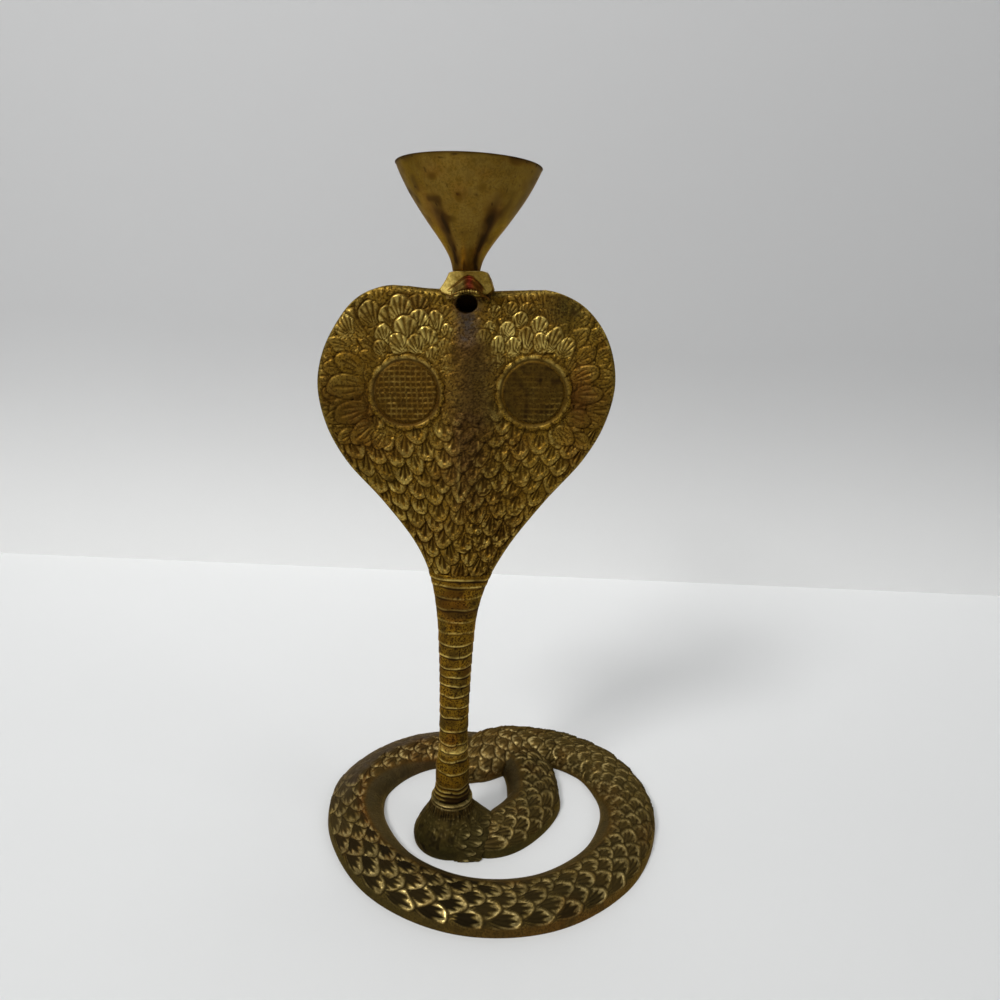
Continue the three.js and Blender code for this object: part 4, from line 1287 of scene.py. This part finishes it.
def head_piece():
    points, normals, faces = head_mesh()
    x, y, level = points[:, 0] - STEM[0] - HOOD_SHIFT, points[:, 1] - STEM[1], points[:, 2]
    points -= 0.05 * normals * (1 + cast_skin(x + 0.6 * y, level + 0.6 * y, 91))[:, None]
    forward = smooth(-y, 4.0, 6.0)
    face = -HEAD_LENGTH * (1 - JAW_SLANT * (HEAD_TOP - level) / HEAD_HEIGHT)
    inside = smooth(y - face, 0.5, 1.3) * (np.abs(x) < MOUTH_HALF)
    inside = inside * fading(level, HEAD_TOP - 1.1, HEAD_TOP - 0.6) * smooth(-y, 2.0, 3.0)
    outside = 1 - inside
    # Painted highlights: the left of the head, towards the key light, is made bright, the right
    # only faintly, and more towards the cheeks' outer edges; the top edge is made bright too.
    left = smooth(-x, 1.0, 2.5)
    gleam = lerp(0.15, 0.75, left) * lerp(0.55, 1.2, smooth(np.abs(x), 3.2, 5.4))
    # Painted shade: the throat hole is painted black, and the right of the mouth's inside darkened;
    # the left of the mouth's inside and the left face's front edge get painted highlights.
    away = np.hypot(x - HOLE_PLACE, level - THROAT_LEVEL)
    hole = fading(away, THROAT_RADIUS, THROAT_RADIUS + 0.3) * (y < THROAT_BACK + 0.2)
    brow = bell(x, 0.2, 2.2) * smooth(level, HEAD_TOP - 2.0, HEAD_TOP - 1.0) * forward
    ink = inside * 0.5 * smooth(x, 1.2, 4.0) + 0.3 * (1 - forward) + 0.35 * outside * brow
    tint = tints(x.shape, ink=np.maximum(ink, hole), red=inside * bell(x, 0.3, 1.0),
                 shine=forward * outside * gleam * (0.85 + 0.3 * grain(x, level, 0.8, 92))
                 + 0.65 * inside * smooth(-x, 0.6, 3.0) + 0.2 * bell(y - face, 0.1, 0.35) * left
                 + 0.5 * smooth(level, HEAD_TOP - 0.5, HEAD_TOP) * outside,
                 green=0.35 * forward * (1 - left) * outside + 0.4 * (1 - forward),
                 rust=1.2 * inside + 0.2 * forward * outside * bell(x, 0, 4))
    return build_piece("cobra_head", points, faces, HEAD_BRASS, tint)


LIP_REACH = (-6.1, 6.9)
LIP_PLACE = -4.7
LIP_ROWS = 150
LIP_SIDES = 32
TOOTH_PITCH = 0.8


def lip_piece():
    """The lower lip: a low arch over the throat with a row of blunt teeth along its front."""
    share = np.linspace(0, 1, LIP_ROWS)[:, None]
    turn = full_turn(LIP_SIDES)[None, :]
    x = lerp(*LIP_REACH, share)
    toothed = smooth(x, -4.0, -3.0) * fading(x, 2.8, 3.6)
    tooth = np.abs(np.sin(math.pi * (x + 0.3) / TOOTH_PITCH)) ** 1.5 * toothed
    tooth = tooth * (0.7 + 0.3 * np.sin(3.1 * x))
    ends = np.sqrt(np.clip(1 - (2 * share - 1) ** 6, 0.02, 1))
    y = LIP_PLACE + (1.9 + 0.25 * tooth) * ends * np.cos(turn)
    level = MOUTH_FLOOR + 0.5 - 0.06 * (x - 0.2) ** 2 + (0.6 + 0.14 * tooth) * ends * np.sin(turn)
    rings = np.stack([STEM[0] + HOOD_SHIFT + x + 0 * turn, STEM[1] + y, level], axis=-1)
    rings += 0.08 * cast_skin(x + 0 * turn, level, 94)[:, :, None]
    forward = smooth(-np.cos(turn), 0.0, 0.8)
    tint = tints(rings.shape[:2], rust=0.9 - 0.6 * toothed,
                 shine=(0.6 * tooth + 0.15 * toothed) * forward
                 + 0.12 * (1 - toothed) * smooth(-x, 1, 3),
                 ink=0.5 * (1 - tooth) ** 2 * forward * toothed
                 + 0.4 * smooth(x, 3, 4.5) + 0.3 * (1 - forward))
    return rings_piece("lower_lip", rings, HOOD_BRASS, tint)


# Candle cup

CUP_SHAPE = [
    (0, -0.009), (0.02, 0.05), (0.06, 0.12), (0.195, 0.255), (0.475, 0.475),
    (0.76, 0.72), (0.925, 0.9), (1, 1),
]
CUP_SIDES = 220
CUP_GIRTH = 13
CUP_RIM_LEVEL = CUP_FOOT + CUP_HEIGHT
AXIS_GAP = 0.01
FRONT_ANGLE = 270


def cup_outline():
    """A closed line of radius and level: drilled foot, wall, rounded rim, inside and flat seat."""
    knots = [(lerp(CUP_FOOT_RADIUS, CUP_RIM, out), CUP_FOOT + up * CUP_HEIGHT)
             for out, up in CUP_SHAPE]
    wall, _ = catmull_rom(knots, per_span=12)
    inner = [(radius - CUP_WALL, level) for radius, level in wall[::-1] if level > CUP_FLOOR]
    floor_edge = np.interp(CUP_FLOOR, wall[:, 1], wall[:, 0]) - CUP_WALL
    hole = THREAD_RADIUS + SEAT_GAP
    rim = [(CUP_RIM - CUP_WALL / 2 * (1 - math.cos(turn)),
            CUP_RIM_LEVEL - 0.26 + 0.25 * math.sin(turn)) for turn in np.linspace(0, math.pi, 9)]
    top = CUP_FOOT + STUD_REACH
    return np.array([(hole, wall[0, 1]), *wall[:-2], *rim, *inner[2:], (floor_edge, CUP_FLOOR),
                     (AXIS_GAP, CUP_FLOOR), (AXIS_GAP, top), (hole, top)]), len(wall)


def cup_piece():
    outline, skin = cup_outline()
    turn = full_turn(CUP_SIDES)[:, None]
    level = outline[:, 1] + 0 * turn
    outside = np.arange(len(outline)) <= skin
    angle, around, up = np.degrees(turn) - FRONT_ANGLE, CUP_GIRTH * turn, level - CUP_FOOT
    low = smooth(up, 0, 3) * fading(up, 14, 24)
    # Painted reflection: two dark, rusty streaks low on the cup's front stand in for the hood's
    # reflection.
    hood_reflection_streaks = (bell(angle, -36, 11) + bell(angle, 34, 11)) * low * outside
    # Painted reflection: the cup's left and right flanks, as seen from the front, are greyed and
    # darkened in their upper part.
    sides = (bell(angle, -78, 16) + bell(angle, 78, 16)) * smooth(up, 10, 18)
    stains = patches(around, level, 2.6, 95, 0.25, 0.8)
    pits = patches(around, level, 0.8, 96, 0.74, 0.92)
    tint = tints(level.shape, ash=0.5 * sides * outside, shine=0.12 * (1 - stains) * outside,
                 ink=0.8 * hood_reflection_streaks + 0.5 * bell(up, 0, 4.5) + 0.35 * stains + 0.6 * pits
                 + 0.8 * bell(level, CUP_RIM_LEVEL, 0.7) + 0.5 * (1 - outside)
                 + 0.5 * sides * outside + 0.12 * grain(around, level, 1.6, 98),
                 rust=0.5 * hood_reflection_streaks + 0.35 * patches(around, level, 5.0, 97, 0, 0.8)
                 + 0.4 * bell(up, 0, 4))
    points = around_stem(outline[:, 0], level, turn)
    return endless_piece("cup_turned", points, TURNED, tint, -1)


TAIL_CUT = TAIL_SHARE * LINE_LENGTH
strands = [strand_piece("coil_body", 0.0, TAIL_CUT),
           strand_piece("coil_tail", TAIL_CUT, LINE_LENGTH - 0.001)]
for piece in (*strands, socket_piece()):
    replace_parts(piece, "coil_base")
marks = [mark_piece("mark_" + side, place, side == "right") for side, place in MARK_PLACES.items()]
for piece in (neck_piece(), hood_piece(), head_piece(), lip_piece(), *marks):
    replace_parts(piece, "cobra_body")
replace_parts(cup_piece(), "candle_cup")
for fastener in ("cup_stud", "base_screw", "base_washer"):
    for holder in bpy.data.objects[fastener].material_slots:
        holder.material = STEEL


# Stage, lights and camera

STAGE_REACH = 3.0
WALL_PLACE = 0.27
LIT_PLACE = Vector((0, 0, 0.1))
CAMERA_PLACE = Vector((-0.00228, -0.24508, 0.20010))
CAMERA_PITCH = 0.267
CAMERA_ROLL = 0.043
CAMERA_LENS = 25.74


def stage_plane(name, low, high, material):
    """A sheet across the whole stage between two places, each given as y and z."""
    left, right = -STAGE_REACH, STAGE_REACH
    corners = [(left, *low), (right, *low), (right, *high), (left, *high)]
    mesh = bpy.data.meshes.new(name)
    mesh.from_pydata([Vector(corner) for corner in corners], [], [tuple(range(len(corners)))])
    mesh.materials.append(material)
    placed(name, mesh)


def area_light(name, place, size, power):
    lamp = bpy.data.lights.new(name, "AREA")
    lamp.size = size
    lamp.energy = power
    made = placed(name, lamp)
    made.location = place
    made.rotation_euler = (LIT_PLACE - Vector(place)).to_track_quat("-Z", "Y").to_euler()


def room_world():
    """Surroundings that are pale above and dark at eye level, as in a dim room."""
    room = bpy.data.worlds.new("room")
    room.use_nodes = True
    tree = room.node_tree
    height = node(tree, "SeparateXYZ", {"Vector": node(tree, "TexCoord", {}, "Generated")}, "Z")
    share = spread_out(tree, height, 0.1, 0.8)
    tone = blend_colour(tree, share, (0.03, 0.03, 0.03), (0.40, 0.41, 0.42))
    tree.links.new(tone, tree.nodes["Background"].inputs["Color"])
    return room


def photo_camera():
    """The camera at the photograph's angle."""
    ahead = Vector((0, math.cos(CAMERA_PITCH), -math.sin(CAMERA_PITCH)))
    right = Vector((1, 0, 0))
    up = right.cross(ahead)
    turned_right = math.cos(CAMERA_ROLL) * right + math.sin(CAMERA_ROLL) * up
    turned_up = -math.sin(CAMERA_ROLL) * right + math.cos(CAMERA_ROLL) * up
    data = bpy.data.cameras.new("camera")
    data.lens = CAMERA_LENS
    data.sensor_width = 36
    data.clip_start = 0.01
    axes = Matrix((turned_right, turned_up, -ahead)).transposed()
    made = placed("camera", data)
    made.matrix_world = Matrix.Translation(CAMERA_PLACE) @ axes.to_4x4()
    bpy.context.scene.camera = made


PALE_FLOOR = stage_material("pale_floor", (0.68, 0.685, 0.68), (0.86, 0.865, 0.86), 0.55,
                            "Y", -0.15, 0.25)
# Painted light: the wall is lighter near the floor and darker higher up.
PALE_WALL = stage_material("pale_wall", (0.93, 0.93, 0.92), (0.59, 0.59, 0.59), 0.9, "Z", 0.0, 0.2)
stage_plane("floor", (-STAGE_REACH, 0), (WALL_PLACE, 0), PALE_FLOOR)
stage_plane("wall", (WALL_PLACE, 0), (WALL_PLACE, STAGE_REACH), PALE_WALL)
area_light("key", (-0.45, -0.55, 0.80), 0.24, 5.6)
area_light("fill", (0.75, -0.35, 0.75), 0.35, 1.1)
area_light("top", (0.05, 0.0, 1.1), 0.5, 2.6)
bpy.context.scene.world = room_world()
bpy.context.scene.view_settings.view_transform = "Standard"
photo_camera()
